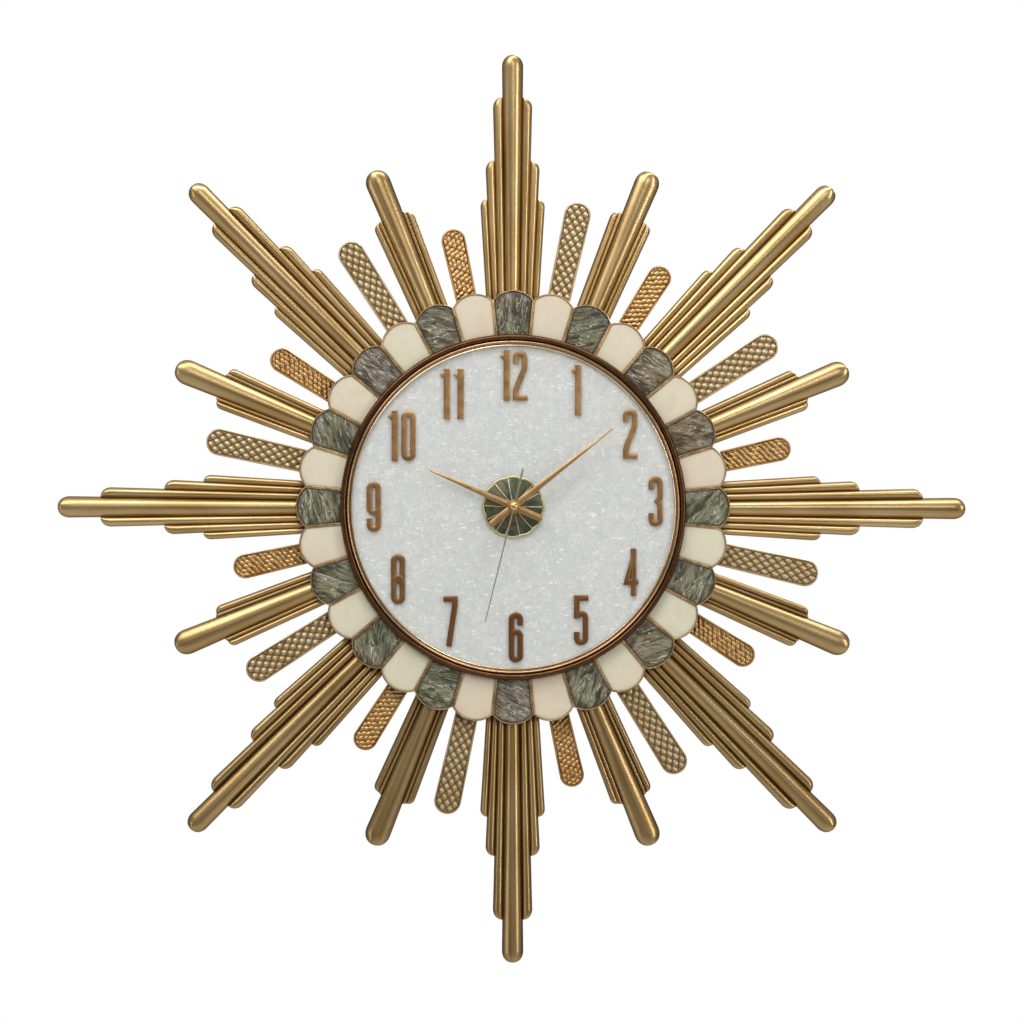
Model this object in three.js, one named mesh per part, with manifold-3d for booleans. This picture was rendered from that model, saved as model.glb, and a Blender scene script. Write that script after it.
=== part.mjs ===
// A sunburst wall clock: cast brass rays round a ring of inlaid petals, with a battery movement behind.
// Millimetres. The model is laid out face up: x to the right, y up the dial, z the distance from the wall.
// The last group stands it on a wall: +Z up, front towards -Y, origin on the dial's axis in the wall plane.
import * as THREE from "three";
import { mergeVertices } from "three/addons/utils/BufferGeometryUtils.js";
import Module from "manifold-3d";

const wasm = await Module();
wasm.setup();

const TURN = 2 * Math.PI;
const GAP = 0.3; // clearance between neighbouring pieces

// ---- Driving dimensions -------------------------------------------------------------------------
// Each group of rays has a long fluted one, and a medium one with a textured one on each side of it.
const RAY_GROUPS = 8;
const TEXTURED_OFFSET = TURN / 36; // from a medium ray to the textured rays beside it
const PETALS = 32;
const RAY_FOOT_R = 138; // inner end of every ray
const FOOT_REF_R = 170.7; // radius at which the rays' base widths are given

// Depth layers, from the wall
const MOVEMENT_FRONT = 16;
const PAN_FRONT = 9;
const PAN_SHEET = 1.6;
const RAY_BACK = PAN_FRONT + GAP;
const TRAY_BACK = MOVEMENT_FRONT + GAP;
const TRAY_FLOOR = TRAY_BACK + 1.5;
const TRAY_RIM_TOP = 21;
const DIAL_BACK = TRAY_FLOOR + GAP;
const DIAL_FRONT = 20.6;
const INLAY_TOP = 20.4;

const PETAL_TIP_R = 164.7;
const PETAL_NOTCH_R = 157;
const PETAL_RIM = 1.5;
const CELL_INNER_R = 128;
const DIAL_R = 122.4;
const BEZEL_INNER_R = 121.2;
const BEZEL_OUTER_R = 130.2;

const PAN_R = 150;
const HOOP_R = 114;
const CASE_HALF = 28; // the movement's case is 56 mm square
// Radii of the nested shafts at the centre, from the second hand's arbor out to the threaded bushing
const SHAFT = {
  arbor: 0.55,
  minuteBore: 0.85,
  minute: 1.6,
  hourBore: 1.9,
  hour: 2.55,
  bushBore: 2.9,
  bush: 4,
};

// Directions of the hands, clockwise from twelve, in degrees
const HAND_ANGLE = { hour: 293.4, minute: 51.7, second: 193.9 };

// ---- Materials ----------------------------------------------------------------------------------
const finish = (color, roughness, metalness) =>
  new THREE.MeshStandardMaterial({ color, roughness, metalness });
const BRASS = finish(0xb8924a, 0.32, 1);
const PALE_BRASS = finish(0xc2a064, 0.38, 1);
const COPPER = finish(0x7a4a28, 0.25, 1);
const IVORY = finish(0xd8cfb8, 0.3, 0);
const SHELL = finish(0x6a6a50, 0.25, 0);
const DIAL_WHITE = finish(0xdfe3e2, 0.3, 0);
const GREEN = finish(0x2c3a1e, 0.25, 0);
const STEEL = finish(0x2a2a2c, 0.5, 0.6);
const ZINC = finish(0xb9bcc0, 0.35, 1);
const PLASTIC = finish(0x1c1c1e, 0.5, 0);
const NYLON = finish(0xe8e6dc, 0.5, 0);
const BOARD = finish(0x1f5a33, 0.5, 0);
const WINDING = finish(0xa4552a, 0.35, 0.8);
const CELL_WRAP = finish(0x3a5a78, 0.4, 0.2);

// ---- Solids -------------------------------------------------------------------------------------
function solidOf(geometry) {
  const flat = geometry.index ? geometry.toNonIndexed() : geometry;
  const bare = new THREE.BufferGeometry().setAttribute("position", flat.getAttribute("position"));
  const merged = mergeVertices(bare, 1e-4);
  const triVerts = new Uint32Array(merged.index.array);
  const vertProperties = merged.attributes.position.array;
  return new wasm.Manifold(new wasm.Mesh({ numProp: 3, vertProperties, triVerts }));
}

function geometryOf(solid) {
  const mesh = solid.getMesh();
  return new THREE.BufferGeometry()
    .setAttribute("position", new THREE.BufferAttribute(mesh.vertProperties, 3))
    .setIndex(new THREE.BufferAttribute(mesh.triVerts, 1));
}

const join = (...solids) => solids.reduce((whole, piece) => whole.add(piece));
const cut = (whole, ...holes) => holes.reduce((rest, hole) => rest.subtract(hole), whole);

const outline = (points) => new THREE.Shape(points.map(([x, y]) => new THREE.Vector2(x, y)));
const circle = (radius, sides, cx = 0, cy = 0) =>
  Array.from({ length: sides }, (_, i) => [
    cx + radius * Math.cos((i * TURN) / sides),
    cy + radius * Math.sin((i * TURN) / sides),
  ]);

// Points on an arc, angles in degrees.
const bow = (cx, cy, radius, from, to, steps = 3) =>
  Array.from({ length: steps + 1 }, (_, i) => {
    const a = ((from + ((to - from) * i) / steps) * Math.PI) / 180;
    return [cx + radius * Math.cos(a), cy + radius * Math.sin(a)];
  });

// A flat plate from z = low to z = high.
function plate(points, low, high) {
  const geometry = new THREE.ExtrudeGeometry(outline(points), { depth: high - low, bevelEnabled: false });
  return solidOf(geometry.translate(0, 0, low));
}

const disc = (radius, low, high, sides = 32, cx = 0, cy = 0) =>
  plate(circle(radius, sides, cx, cy), low, high);
const block = (x0, x1, y0, y1, z0, z1) => plate([[x0, y0], [x1, y0], [x1, y1], [x0, y1]], z0, z1);
const tube = (outer, bore, low, high, sides = 24, cx = 0, cy = 0) =>
  cut(disc(outer, low, high, sides, cx, cy), disc(bore, low - 1, high + 1, sides, cx, cy));

// A ring turned about the z axis from a closed profile of [radius, z] points, listed anticlockwise.
function turned(profile, sides) {
  const points = [...profile, profile[0]].map(([r, z]) => new THREE.Vector2(r, z));
  return solidOf(new THREE.LatheGeometry(points, sides).rotateX(Math.PI / 2));
}

// A rod along x.
const rodAlongX = (radius, x0, x1, y, z, sides = 20) =>
  solidOf(
    new THREE.CylinderGeometry(radius, radius, x1 - x0, sides)
      .rotateZ(Math.PI / 2)
      .translate((x0 + x1) / 2, y, z),
  );

// ---- Rays ---------------------------------------------------------------------------------------
// A body lofted through rings of points that all have the same count.
function loft(rings) {
  const count = rings[0].length;
  const points = rings.flat();
  const faces = [];
  for (let i = 0; i + 1 < rings.length; i++)
    for (let j = 0; j < count; j++) {
      const a = i * count + j;
      const b = i * count + ((j + 1) % count);
      faces.push(a, b, b + count, a, b + count, a + count);
    }
  const last = (rings.length - 1) * count;
  for (let j = 1; j + 1 < count; j++) faces.push(0, j + 1, j, last, last + j, last + j + 1);
  const geometry = new THREE.BufferGeometry();
  geometry.setAttribute("position", new THREE.Float32BufferAttribute(points.flat(), 3));
  geometry.setIndex(faces);
  return solidOf(geometry);
}

const SLAB = 1.6; // thickness of a fluted ray under its flutes
const UNDERCUT = 0.5; // how far a side flute reaches in under its neighbour

// One flute's section at radius y: a slab with an arch on it, from x0 to x1.
function fluteSection(x0, x1, y, arch, segments) {
  const mid = (x0 + x1) / 2;
  const half = (x1 - x0) / 2;
  const ring = [[x0, y, 0]];
  for (let i = 0; i <= segments; i++) {
    const a = Math.PI * (1 - i / segments);
    ring.push([mid + half * Math.cos(a), y, SLAB + arch * Math.sin(a)]);
  }
  ring.push([x1, y, 0]);
  return ring;
}

// Angles round the quarter turn in which a flute's end or shoulder is rounded off.
const END_ANGLES = [0, 0.5, 0.88].map((share) => (share * Math.PI) / 2);
const SHOULDER_ANGLES = [0, 0.7].map((share) => (share * Math.PI) / 2);
const END_REACH = 1.2; // length of a rounded end against its half width

// Half width of an edge { base, end, endR } at radius y: base at the reference radius, end at endR.
const widthAt = ({ base, end, endR }, y) =>
  base + ((end - base) * (y - FOOT_REF_R)) / (endR - FOOT_REF_R);

function centreFlute(edge, tipR, arch) {
  const foot = widthAt(edge, RAY_FOOT_R);
  const rings = [fluteSection(-foot, foot, RAY_FOOT_R, arch, 4)];
  for (const a of END_ANGLES) {
    const half = edge.end * Math.cos(a);
    const y = tipR - edge.end * END_REACH * (1 - Math.sin(a));
    rings.push(fluteSection(-half, half, y, arch * Math.cos(a) ** 0.7, 4));
  }
  return loft(rings);
}

// A side flute between an inner and an outer edge, its outer side rounded at the end. side is 1 or -1.
function sideFlute(inner, outer, shoulderR, arch, side) {
  const at = (y, share, height) => {
    const x0 = widthAt(inner, y) - UNDERCUT;
    const x1 = x0 + (widthAt(outer, y) - x0) * share;
    const section = fluteSection(x0, x1, y, height, 3);
    return side > 0 ? section : section.map(([x, ...rest]) => [-x, ...rest]).reverse();
  };
  const round = widthAt(outer, shoulderR) - widthAt(inner, shoulderR);
  const rings = [at(RAY_FOOT_R, 1, arch)];
  for (const a of SHOULDER_ANGLES)
    rings.push(at(shoulderR - round * (1 - Math.sin(a)), Math.cos(a), arch * Math.cos(a) ** 0.5));
  return loft(rings);
}

// Flutes from the middle outwards. Half widths at the base reference and at the flute's own end, which
// lies at a share of the tip's radius; arch is the flute's rise above the slab.
const LONG_FLUTES = [
  { base: 6, end: 8, share: 0.972, arch: 4.4 },
  { base: 11.4, end: 15, share: 0.906, arch: 3 },
  { base: 16.3, end: 20.7, share: 0.766, arch: 2.6 },
  { base: 20.8, end: 24.6, share: 0.68, arch: 2.2 },
];
const MEDIUM_FLUTES = [
  { base: 7, end: 9.4, share: 0.96, arch: 4.4 },
  { base: 9.4, end: 11.6, share: 0.866, arch: 1.6 },
  { base: 13.9, end: 16.4, share: 0.861, arch: 2.8 },
];
const TIP_R = { long: 342.4, medium: 274.6 };

function flutedRay(flutes, tipR) {
  const edges = flutes.map((flute) => ({ ...flute, endR: flute.share * tipR }));
  const pieces = [centreFlute(edges[0], tipR, edges[0].arch)];
  for (let k = 1; k < edges.length; k++)
    for (const side of [1, -1])
      pieces.push(sideFlute(edges[k - 1], edges[k], edges[k].endR, edges[k].arch, side));
  return join(...pieces);
}

const TEXTURED_LONG = { base: 8.9, end: 10.05, tipR: 236 };
const TEXTURED_SHORT = { base: 8.2, end: 9.1, tipR: 215 };
const TEXTURED_THICKNESS = 2.6;

function texturedRay({ base, end, tipR }) {
  const endR = tipR - end;
  const foot = widthAt({ base, end, endR }, RAY_FOOT_R);
  const points = [[-foot, RAY_FOOT_R], [foot, RAY_FOOT_R]];
  for (const [x, y] of bow(0, endR, end, 0, 180, 6)) points.push([x, y]);
  return plate(points, 0, TEXTURED_THICKNESS);
}

// ---- Petal tray, inlays, dial and bezel ---------------------------------------------------------
const PETAL_HALF_ANGLE = Math.PI / PETALS;

// A petal's round end, as [x, y] points of the petal at twelve, from its right notch to its left one.
// The end is an arc through both notches and the tip, and inset moves it inwards all the way round.
function petalEnd(inset, steps = 3) {
  const halfChord = PETAL_NOTCH_R * Math.sin(PETAL_HALF_ANGLE);
  const rise = PETAL_TIP_R - PETAL_NOTCH_R * Math.cos(PETAL_HALF_ANGLE);
  const bend = (halfChord ** 2 + rise ** 2) / (2 * rise);
  const centre = PETAL_TIP_R - bend;
  const sweep = Math.asin((halfChord - inset) / (bend - inset));
  return Array.from({ length: steps + 1 }, (_, i) => {
    const a = sweep * (1 - (2 * i) / steps);
    return [(bend - inset) * Math.sin(a), centre + (bend - inset) * Math.cos(a)];
  });
}

const rotate = ([x, y], angle) => [
  x * Math.cos(angle) - y * Math.sin(angle),
  x * Math.sin(angle) + y * Math.cos(angle),
];

// One cell's outline on the 12 o'clock petal, from innerY under the bezel out to its round end.
function cellOutline(inset, innerY) {
  const innerHalf = innerY * Math.tan(PETAL_HALF_ANGLE) - inset;
  return [[-innerHalf, innerY], [innerHalf, innerY], ...petalEnd(inset)];
}

function petalTray() {
  const scallops = [];
  for (let k = 0; k < PETALS; k++)
    scallops.push(...petalEnd(0).slice(0, -1).map((p) => rotate(p, (k * TURN) / PETALS)));
  let tray = cut(
    plate(scallops, TRAY_BACK, TRAY_RIM_TOP),
    disc(CELL_INNER_R - 1, TRAY_FLOOR, TRAY_RIM_TOP + 1, 48),
    disc(SHAFT.bush + 0.5, 0, TRAY_FLOOR + 1, 24),
  );
  const cell = plate(cellOutline(PETAL_RIM / 2, CELL_INNER_R - 2), TRAY_FLOOR, TRAY_RIM_TOP + 1);
  for (let k = 0; k < PETALS; k++) tray = tray.subtract(cell.rotate([0, 0, (k * 360) / PETALS]));
  return tray;
}

const CARRIER = { outerR: CELL_INNER_R - 2.5, innerR: DIAL_R + 0.5, tabHalf: 5, tabLap: 1 };

// Sixteen tiles, each with a tab to a carrier ring under the bezel. The two rings lie one above the other.
function inlays(first, ringLow, ringHigh) {
  const tile = plate(cellOutline(PETAL_RIM / 2 + GAP, CELL_INNER_R), DIAL_BACK, INLAY_TOP);
  const { outerR, innerR, tabHalf, tabLap } = CARRIER;
  const tab = block(-tabHalf, tabHalf, outerR - tabLap, CELL_INNER_R + tabLap, ringLow, ringHigh);
  const piece = join(tile, tab);
  let whole = tube(outerR, innerR, ringLow, ringHigh, 48);
  for (let k = first; k < PETALS; k += 2) whole = whole.add(piece.rotate([0, 0, (k * 360) / PETALS]));
  return whole;
}

// From the foot over the round outer moulding, the groove and the slope, in to the lip on the dial.
const BEZEL_PROFILE = [
  [BEZEL_INNER_R, 21.4],
  [BEZEL_OUTER_R, 21.4],
  [BEZEL_OUTER_R, 23.4],
  [129.6, 25.2],
  [128.2, 26.2],
  [126.6, 26.2],
  [125.6, 25.4],
  [124.9, 25.9],
  [122.4, 23.6],
  [BEZEL_INNER_R, 23.6],
];

// ---- Numerals: condensed figures drawn with one stroke width ------------------------------------
const FIGURE = { height: 38, width: 11, stroke: 4.3 };
const HALF_W = (FIGURE.width - FIGURE.stroke) / 2;
const HALF_H = (FIGURE.height - FIGURE.stroke) / 2;
const BOW_Y = HALF_H - HALF_W; // height of the centre of a figure's upper bow
const HOOK = 4.5; // how far an open figure's end runs on past its bow
const CAP = FIGURE.stroke / 2; // a stroke that ends at the top or bottom line reaches it with a square end
const BAR_Y = -HALF_H * 0.5; // the crossbar of the 4

const topBow = bow(0, BOW_Y, HALF_W, 180, 0);
const bottomBow = bow(0, -BOW_Y, HALF_W, 0, -180);
const loop = (low, high) => [
  ...bow(0, high - HALF_W, HALF_W, 0, 180),
  ...bow(0, low + HALF_W, HALF_W, 180, 360),
];

// Each figure's strokes, as the middle lines of its bars. A closed one is a loop.
const STROKES = {
  0: [{ closed: true, points: loop(-HALF_H, HALF_H) }],
  1: [
    { points: [[0, -HALF_H - CAP], [0, HALF_H + CAP]] },
    { points: [[-3.6, BOW_Y], [0, BOW_Y + 2.8]] },
  ],
  2: [
    {
      points: [
        [-HALF_W, BOW_Y - HOOK],
        ...topBow,
        [HALF_W, 5],
        [-HALF_W, -HALF_H + 5],
        [-HALF_W, -HALF_H],
        [HALF_W + CAP, -HALF_H],
      ],
    },
  ],
  3: [
    {
      points: [
        [-HALF_W, BOW_Y - HOOK],
        ...topBow,
        [HALF_W, 3],
        [0.6, 0],
        [HALF_W, -3],
        ...bottomBow,
        [-HALF_W, -BOW_Y + HOOK],
      ],
    },
  ],
  4: [
    { closed: true, points: [[2, HALF_H], [-HALF_W, BAR_Y], [2, BAR_Y]] },
    { points: [[2, HALF_H], [2, -HALF_H - CAP]] },
    { points: [[0, BAR_Y], [HALF_W + CAP, BAR_Y]] },
  ],
  5: [
    {
      points: [
        [HALF_W + CAP, HALF_H],
        [-HALF_W, HALF_H],
        [-HALF_W, 1],
        [0, 4],
        [HALF_W, 1],
        ...bottomBow,
        [-HALF_W, -BOW_Y + HOOK],
      ],
    },
  ],
  6: [
    { closed: true, points: loop(-HALF_H, 4) },
    { points: [[-HALF_W, 0], ...topBow, [HALF_W, BOW_Y - HOOK]] },
  ],
  7: [
    {
      points: [
        [-HALF_W - CAP, HALF_H],
        [HALF_W, HALF_H],
        [HALF_W, HALF_H - 4],
        [-1.4, -HALF_H - CAP],
      ],
    },
  ],
  8: [
    { closed: true, points: loop(-HALF_H, 1.2) },
    { closed: true, points: loop(-1.2, HALF_H) },
  ],
  9: [
    { closed: true, points: loop(-4, HALF_H) },
    { points: [[HALF_W, 0], ...bottomBow, [-HALF_W, -BOW_Y + HOOK]] },
  ],
};

const distance = (a, b) => Math.hypot(b[0] - a[0], b[1] - a[1]);
const direction = (a, b) => [(b[0] - a[0]) / distance(a, b), (b[1] - a[1]) / distance(a, b)];

// One edge of a stroke, mitred at its bends. offset is positive on the left of the way it runs.
function strokeEdge(points, closed, offset) {
  return points.map((p, i) => {
    const before = points[i - 1] ?? (closed ? points.at(-1) : null);
    const after = points[i + 1] ?? (closed ? points[0] : null);
    const arriving = direction(before ?? p, before ? p : after);
    const leaving = direction(after ? p : before, after ?? p);
    const normal = [-(arriving[1] + leaving[1]), arriving[0] + leaving[0]];
    const scale = (2 * offset) / Math.max(normal[0] ** 2 + normal[1] ** 2, 1);
    return [p[0] + normal[0] * scale, p[1] + normal[1] * scale];
  });
}

const areaOf = (points) => Math.abs(THREE.ShapeUtils.area(outline(points).getPoints()));
const SAME_POINT = 0.2; // points closer than this are one

function bar({ points, closed = false }, low, high) {
  const distinct = points.filter((p, i) => i === 0 || distance(p, points[i - 1]) > SAME_POINT);
  if (closed && distance(distinct[0], distinct.at(-1)) < SAME_POINT) distinct.pop();
  const left = strokeEdge(distinct, closed, FIGURE.stroke / 2);
  const right = strokeEdge(distinct, closed, -FIGURE.stroke / 2);
  if (!closed) return plate([...left, ...right.reverse()], low, high);
  const [outer, inner] = areaOf(left) > areaOf(right) ? [left, right] : [right, left];
  return cut(plate(outer, low, high), plate(inner, low - 1, high + 1));
}

const figure = (digit, low, high) => join(...STROKES[digit].map((stroke) => bar(stroke, low, high)));

const NUMERAL_HEIGHT = 2.2;
const DIGIT_PITCH = { 10: 10.6, 11: 10.4, 12: 10.4 };
// Figures stand upright. To keep their margin to the dial's edge even, they sit further out at the sides.
const NUMERAL_R = { top: 98, side: 106.8 };
const numeralRadius = (angle) => NUMERAL_R.top + (NUMERAL_R.side - NUMERAL_R.top) * Math.sin(angle) ** 6;
// The figures are set by hand: how far each one from 1 to 12 is off its place, to the right and up.
const NUMERAL_SET = [
  [-0.5, 3],
  [0, 4.5],
  [0.5, 4.5],
  [0.5, 3],
  [2, 0],
  [2, 0],
  [2, -1],
  [1.5, -3.5],
  [2, 0],
  [4, 2.5],
  [4, 0],
  [0, 1],
];

function numeral(hour) {
  const angle = (hour * TURN) / 12;
  const r = numeralRadius(angle);
  const digits = String(hour).split("");
  const pitch = DIGIT_PITCH[hour] ?? 0;
  const [right, up] = NUMERAL_SET[hour - 1];
  return join(
    ...digits.map((digit, i) =>
      figure(digit, DIAL_FRONT - GAP, DIAL_FRONT + NUMERAL_HEIGHT).translate([
        r * Math.sin(angle) + right + (i - (digits.length - 1) / 2) * pitch,
        r * Math.cos(angle) + up,
        0,
      ]),
    ),
  );
}

function dialDisc() {
  const base = cut(disc(DIAL_R, DIAL_BACK, DIAL_FRONT, 48), disc(SHAFT.bush + 0.5, 0, DIAL_FRONT + 1, 24));
  return join(base, ...Array.from({ length: 12 }, (_, i) => numeral(i + 1)));
}

// ---- Centre: rosette, nut and hands -------------------------------------------------------------
const ROSETTE_PROFILE = [
  [3.4, 25.9],
  [8.5, 25],
  [16, 22.6],
  [22.6, DIAL_FRONT + GAP],
  [23.7, DIAL_FRONT + GAP],
  [23.7, 22],
  [17, 24.2],
  [9, 26.6],
  [3.4, 27.3],
];

const hexNut = () => cut(disc(7, 21.2, 23.7, 6), disc(SHAFT.bush + 0.3, 20, 25, 24));

// A flat hand along +y: half widths at its tail, hub and tip.
function hand({ tail, tailHalf, rootHalf, length, tipHalf, hub, bore, low }) {
  const high = low + HAND_THICKNESS;
  const blade = plate(
    [
      [-tailHalf * 0.6, -tail],
      [tailHalf * 0.6, -tail],
      [tailHalf, -tail + tailHalf * 0.7],
      [rootHalf, 0],
      [tipHalf, length - 1],
      [0, length],
      [-tipHalf, length - 1],
      [-rootHalf, 0],
      [-tailHalf, -tail + tailHalf * 0.7],
    ],
    low,
    high,
  );
  const boss = disc(hub, low, high + 0.3, 16);
  return bore ? cut(join(blade, boss), disc(bore, low - 1, high + 2, 16)) : join(blade, boss);
}

const HAND_THICKNESS = 0.7;
const HANDS = {
  hour: {
    tail: 23.4,
    tailHalf: 3.3,
    rootHalf: 3.1,
    length: 69.2,
    tipHalf: 0.8,
    hub: 5.4,
    bore: SHAFT.hour + 0.15,
    low: 27.9,
  },
  minute: {
    tail: 23,
    tailHalf: 3.2,
    rootHalf: 3,
    length: 95,
    tipHalf: 0.7,
    hub: 4.6,
    bore: SHAFT.minute + 0.15,
    low: 30,
  },
  second: {
    tail: 29.6,
    tailHalf: 1.4,
    rootHalf: 0.8,
    length: 89.6,
    tipHalf: 0.4,
    hub: 3.2,
    bore: 0,
    low: 32.1,
  },
};

// The second hand carries the brass ball that closes the centre, with a blind hole for its arbor.
function secondHand() {
  const ball = turned(
    [
      [0.001, 33.4],
      [SHAFT.arbor + 0.2, 33.4],
      [SHAFT.arbor + 0.2, 31.6],
      [2.4, 31.6],
      [3.6, 32.8],
      [3, 34.2],
      [1.4, 34.9],
      [0.001, 35],
    ],
    12,
  );
  const blade = cut(hand(HANDS.second), disc(1.5, 31, 33, 12));
  return join(blade, ball);
}

// ---- Movement -----------------------------------------------------------------------------------
// The train, from the stepping rotor to the hands. Axes are [x, y] from the dial's centre.
const SECOND_THIRD = 12.24;
const SECOND_INTER = 12;
const INTER_ROTOR = 7.48;
const MOTION_WORK = 13.2;
const polar = (r, degrees, [x, y] = [0, 0]) => [
  x + r * Math.cos((degrees * Math.PI) / 180),
  y + r * Math.sin((degrees * Math.PI) / 180),
];
const AXIS = {
  centre: [0, 0],
  third: [-SECOND_THIRD, 0],
  minute: [MOTION_WORK, 0],
  inter: polar(SECOND_INTER, 80),
};
AXIS.rotor = polar(INTER_ROTOR, 30, AXIS.inter);

// Rotor 6 to 36 and 10 to 50 give the second wheel one turn for thirty of the rotor's; 6 to 45 and 6 to 48
// give the centre wheel one for sixty; 10 to 30 and 8 to 32 give the hour wheel one for twelve more.
const TEETH = {
  rotor: 6,
  interGear: 36,
  interPinion: 10,
  second: 50,
  secondPinion: 6,
  third: 45,
  thirdPinion: 6,
  centre: 48,
  cannon: 10,
  minute: 30,
  minutePinion: 8,
  hour: 32,
};
const MODULE = {
  rotor: (2 * INTER_ROTOR) / (TEETH.rotor + TEETH.interGear),
  inter: (2 * SECOND_INTER) / (TEETH.interPinion + TEETH.second),
  third: (2 * SECOND_THIRD) / (TEETH.secondPinion + TEETH.third),
  centre: (2 * SECOND_THIRD) / (TEETH.thirdPinion + TEETH.centre),
  motion: (2 * MOTION_WORK) / (TEETH.cannon + TEETH.minute),
};

// Pointed moulded teeth. A tooth or a gap faces the angle given in turns of one tooth.
const TOOTH = { above: 0.65, below: 1.35 };
function gear(teeth, module, low, high, [cx, cy], facing, phase) {
  const pitchR = (module * teeth) / 2;
  const points = [];
  for (let i = 0; i < 2 * teeth; i++) {
    const a = facing + ((i + 2 * phase) * Math.PI) / teeth;
    const r = i % 2 ? pitchR - TOOTH.below * module : pitchR + TOOTH.above * module;
    points.push([cx + r * Math.cos(a), cy + r * Math.sin(a)]);
  }
  return plate(points, low, high);
}
const angleTo = (from, to) => Math.atan2(to[1] - from[1], to[0] - from[0]);
const ON_TOOTH = 0;
const ON_GAP = 0.5;
const arborAt = ([x, y], radius, low, high) => disc(radius, low, high, 12, x, y);

const secondWheel = () =>
  join(
    gear(TEETH.second, MODULE.inter, 4.2, 5, AXIS.centre, angleTo(AXIS.centre, AXIS.inter), ON_TOOTH),
    gear(TEETH.secondPinion, MODULE.third, 4.6, 7.1, AXIS.centre, Math.PI, ON_TOOTH),
    arborAt(AXIS.centre, SHAFT.arbor, 1.5, 33),
  );
const thirdWheel = () =>
  join(
    gear(TEETH.third, MODULE.third, 5.7, 6.5, AXIS.third, 0, ON_GAP),
    gear(TEETH.thirdPinion, MODULE.centre, 6.2, 8.9, AXIS.third, 0, ON_TOOTH),
    arborAt(AXIS.third, 0.5, 1.5, 9.9),
  );
const centreWheel = () =>
  cut(
    join(
      gear(TEETH.centre, MODULE.centre, 7.6, 8.4, AXIS.centre, Math.PI, ON_GAP),
      gear(TEETH.cannon, MODULE.motion, 10.8, 12.4, AXIS.centre, 0, ON_TOOTH),
      disc(SHAFT.minute, 7.4, 31, 16),
    ),
    disc(SHAFT.minuteBore, 7, 32, 16),
  );
const minuteWheel = () =>
  join(
    gear(TEETH.minute, MODULE.motion, 11.2, 12, AXIS.minute, Math.PI, ON_GAP),
    gear(TEETH.minutePinion, MODULE.motion, 11.6, 14.2, AXIS.minute, Math.PI, ON_TOOTH),
    arborAt(AXIS.minute, 1, 2.8, 14.2),
  );
const hourWheel = () =>
  cut(
    join(
      gear(TEETH.hour, MODULE.motion, 12.9, 13.7, AXIS.centre, 0, ON_GAP),
      disc(SHAFT.hour, 12.9, 28.9, 16),
    ),
    disc(SHAFT.hourBore, 12, 30, 16),
  );
const intermediateWheel = () =>
  join(
    gear(TEETH.interPinion, MODULE.inter, 3.9, 5.3, AXIS.inter, angleTo(AXIS.inter, AXIS.centre), ON_GAP),
    gear(TEETH.interGear, MODULE.rotor, 5.7, 6.5, AXIS.inter, angleTo(AXIS.inter, AXIS.rotor), ON_GAP),
    arborAt(AXIS.inter, 0.5, 1.5, 9.9),
  );
const MAGNET_R = 2.8;
const rotor = () =>
  join(
    gear(TEETH.rotor, MODULE.rotor, 5.4, 7.2, AXIS.rotor, angleTo(AXIS.rotor, AXIS.inter), ON_TOOTH),
    disc(MAGNET_R, 7, 9, 16, ...AXIS.rotor),
    arborAt(AXIS.rotor, 0.4, 1.5, 9.9),
  );

const BATTERY = { radius: 7.25, y: -19.6, z: 7.45, x0: -24.7, x1: 24.8, nub: 1 };
const battery = () =>
  join(
    rodAlongX(BATTERY.radius, BATTERY.x0, BATTERY.x1, BATTERY.y, BATTERY.z, 24),
    rodAlongX(2.7, BATTERY.x1 - 1, BATTERY.x1 + BATTERY.nub, BATTERY.y, BATTERY.z, 12),
  );
// The contact strips stand across the ends of the cell, each with a narrow tab up to the board.
const STRIP = { near: 26.1, far: 26.6, y0: -25, y1: -13, z0: 3, z1: 13 };
const STRIP_TAB = { y0: -13.2, y1: -8, z0: 5, z1: 8 };
const strip = (x0, x1) =>
  join(
    block(x0, x1, STRIP.y0, STRIP.y1, STRIP.z0, STRIP.z1),
    block(x0, x1, STRIP_TAB.y0, STRIP_TAB.y1, STRIP_TAB.z0, STRIP_TAB.z1),
  );
const contactPositive = () => strip(STRIP.near, STRIP.far);
// The spring is drawn as two steps of its cone.
const contactNegative = () =>
  join(
    strip(-STRIP.far, -STRIP.near),
    rodAlongX(4, -26.2, -25.6, BATTERY.y, BATTERY.z, 16),
    rodAlongX(2.8, -25.7, -25, BATTERY.y, BATTERY.z, 16),
  );

const COIL = { x0: 0, x1: 19, y: 23.2, z: 8 };
const coil = () =>
  cut(
    join(
      rodAlongX(2.4, COIL.x0 + 0.5, COIL.x1 - 0.5, COIL.y, COIL.z, 16),
      block(COIL.x0, COIL.x0 + 1, COIL.y - 2.6, COIL.y + 2.6, COIL.z - 3, COIL.z + 3),
      block(COIL.x1 - 1, COIL.x1, COIL.y - 2.6, COIL.y + 2.6, COIL.z - 3, COIL.z + 3),
    ),
    block(COIL.x0 - 1, COIL.x1 + 1, COIL.y - 1.5, COIL.y + 1.5, COIL.z - 0.8, COIL.z + 0.8),
  );
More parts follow.
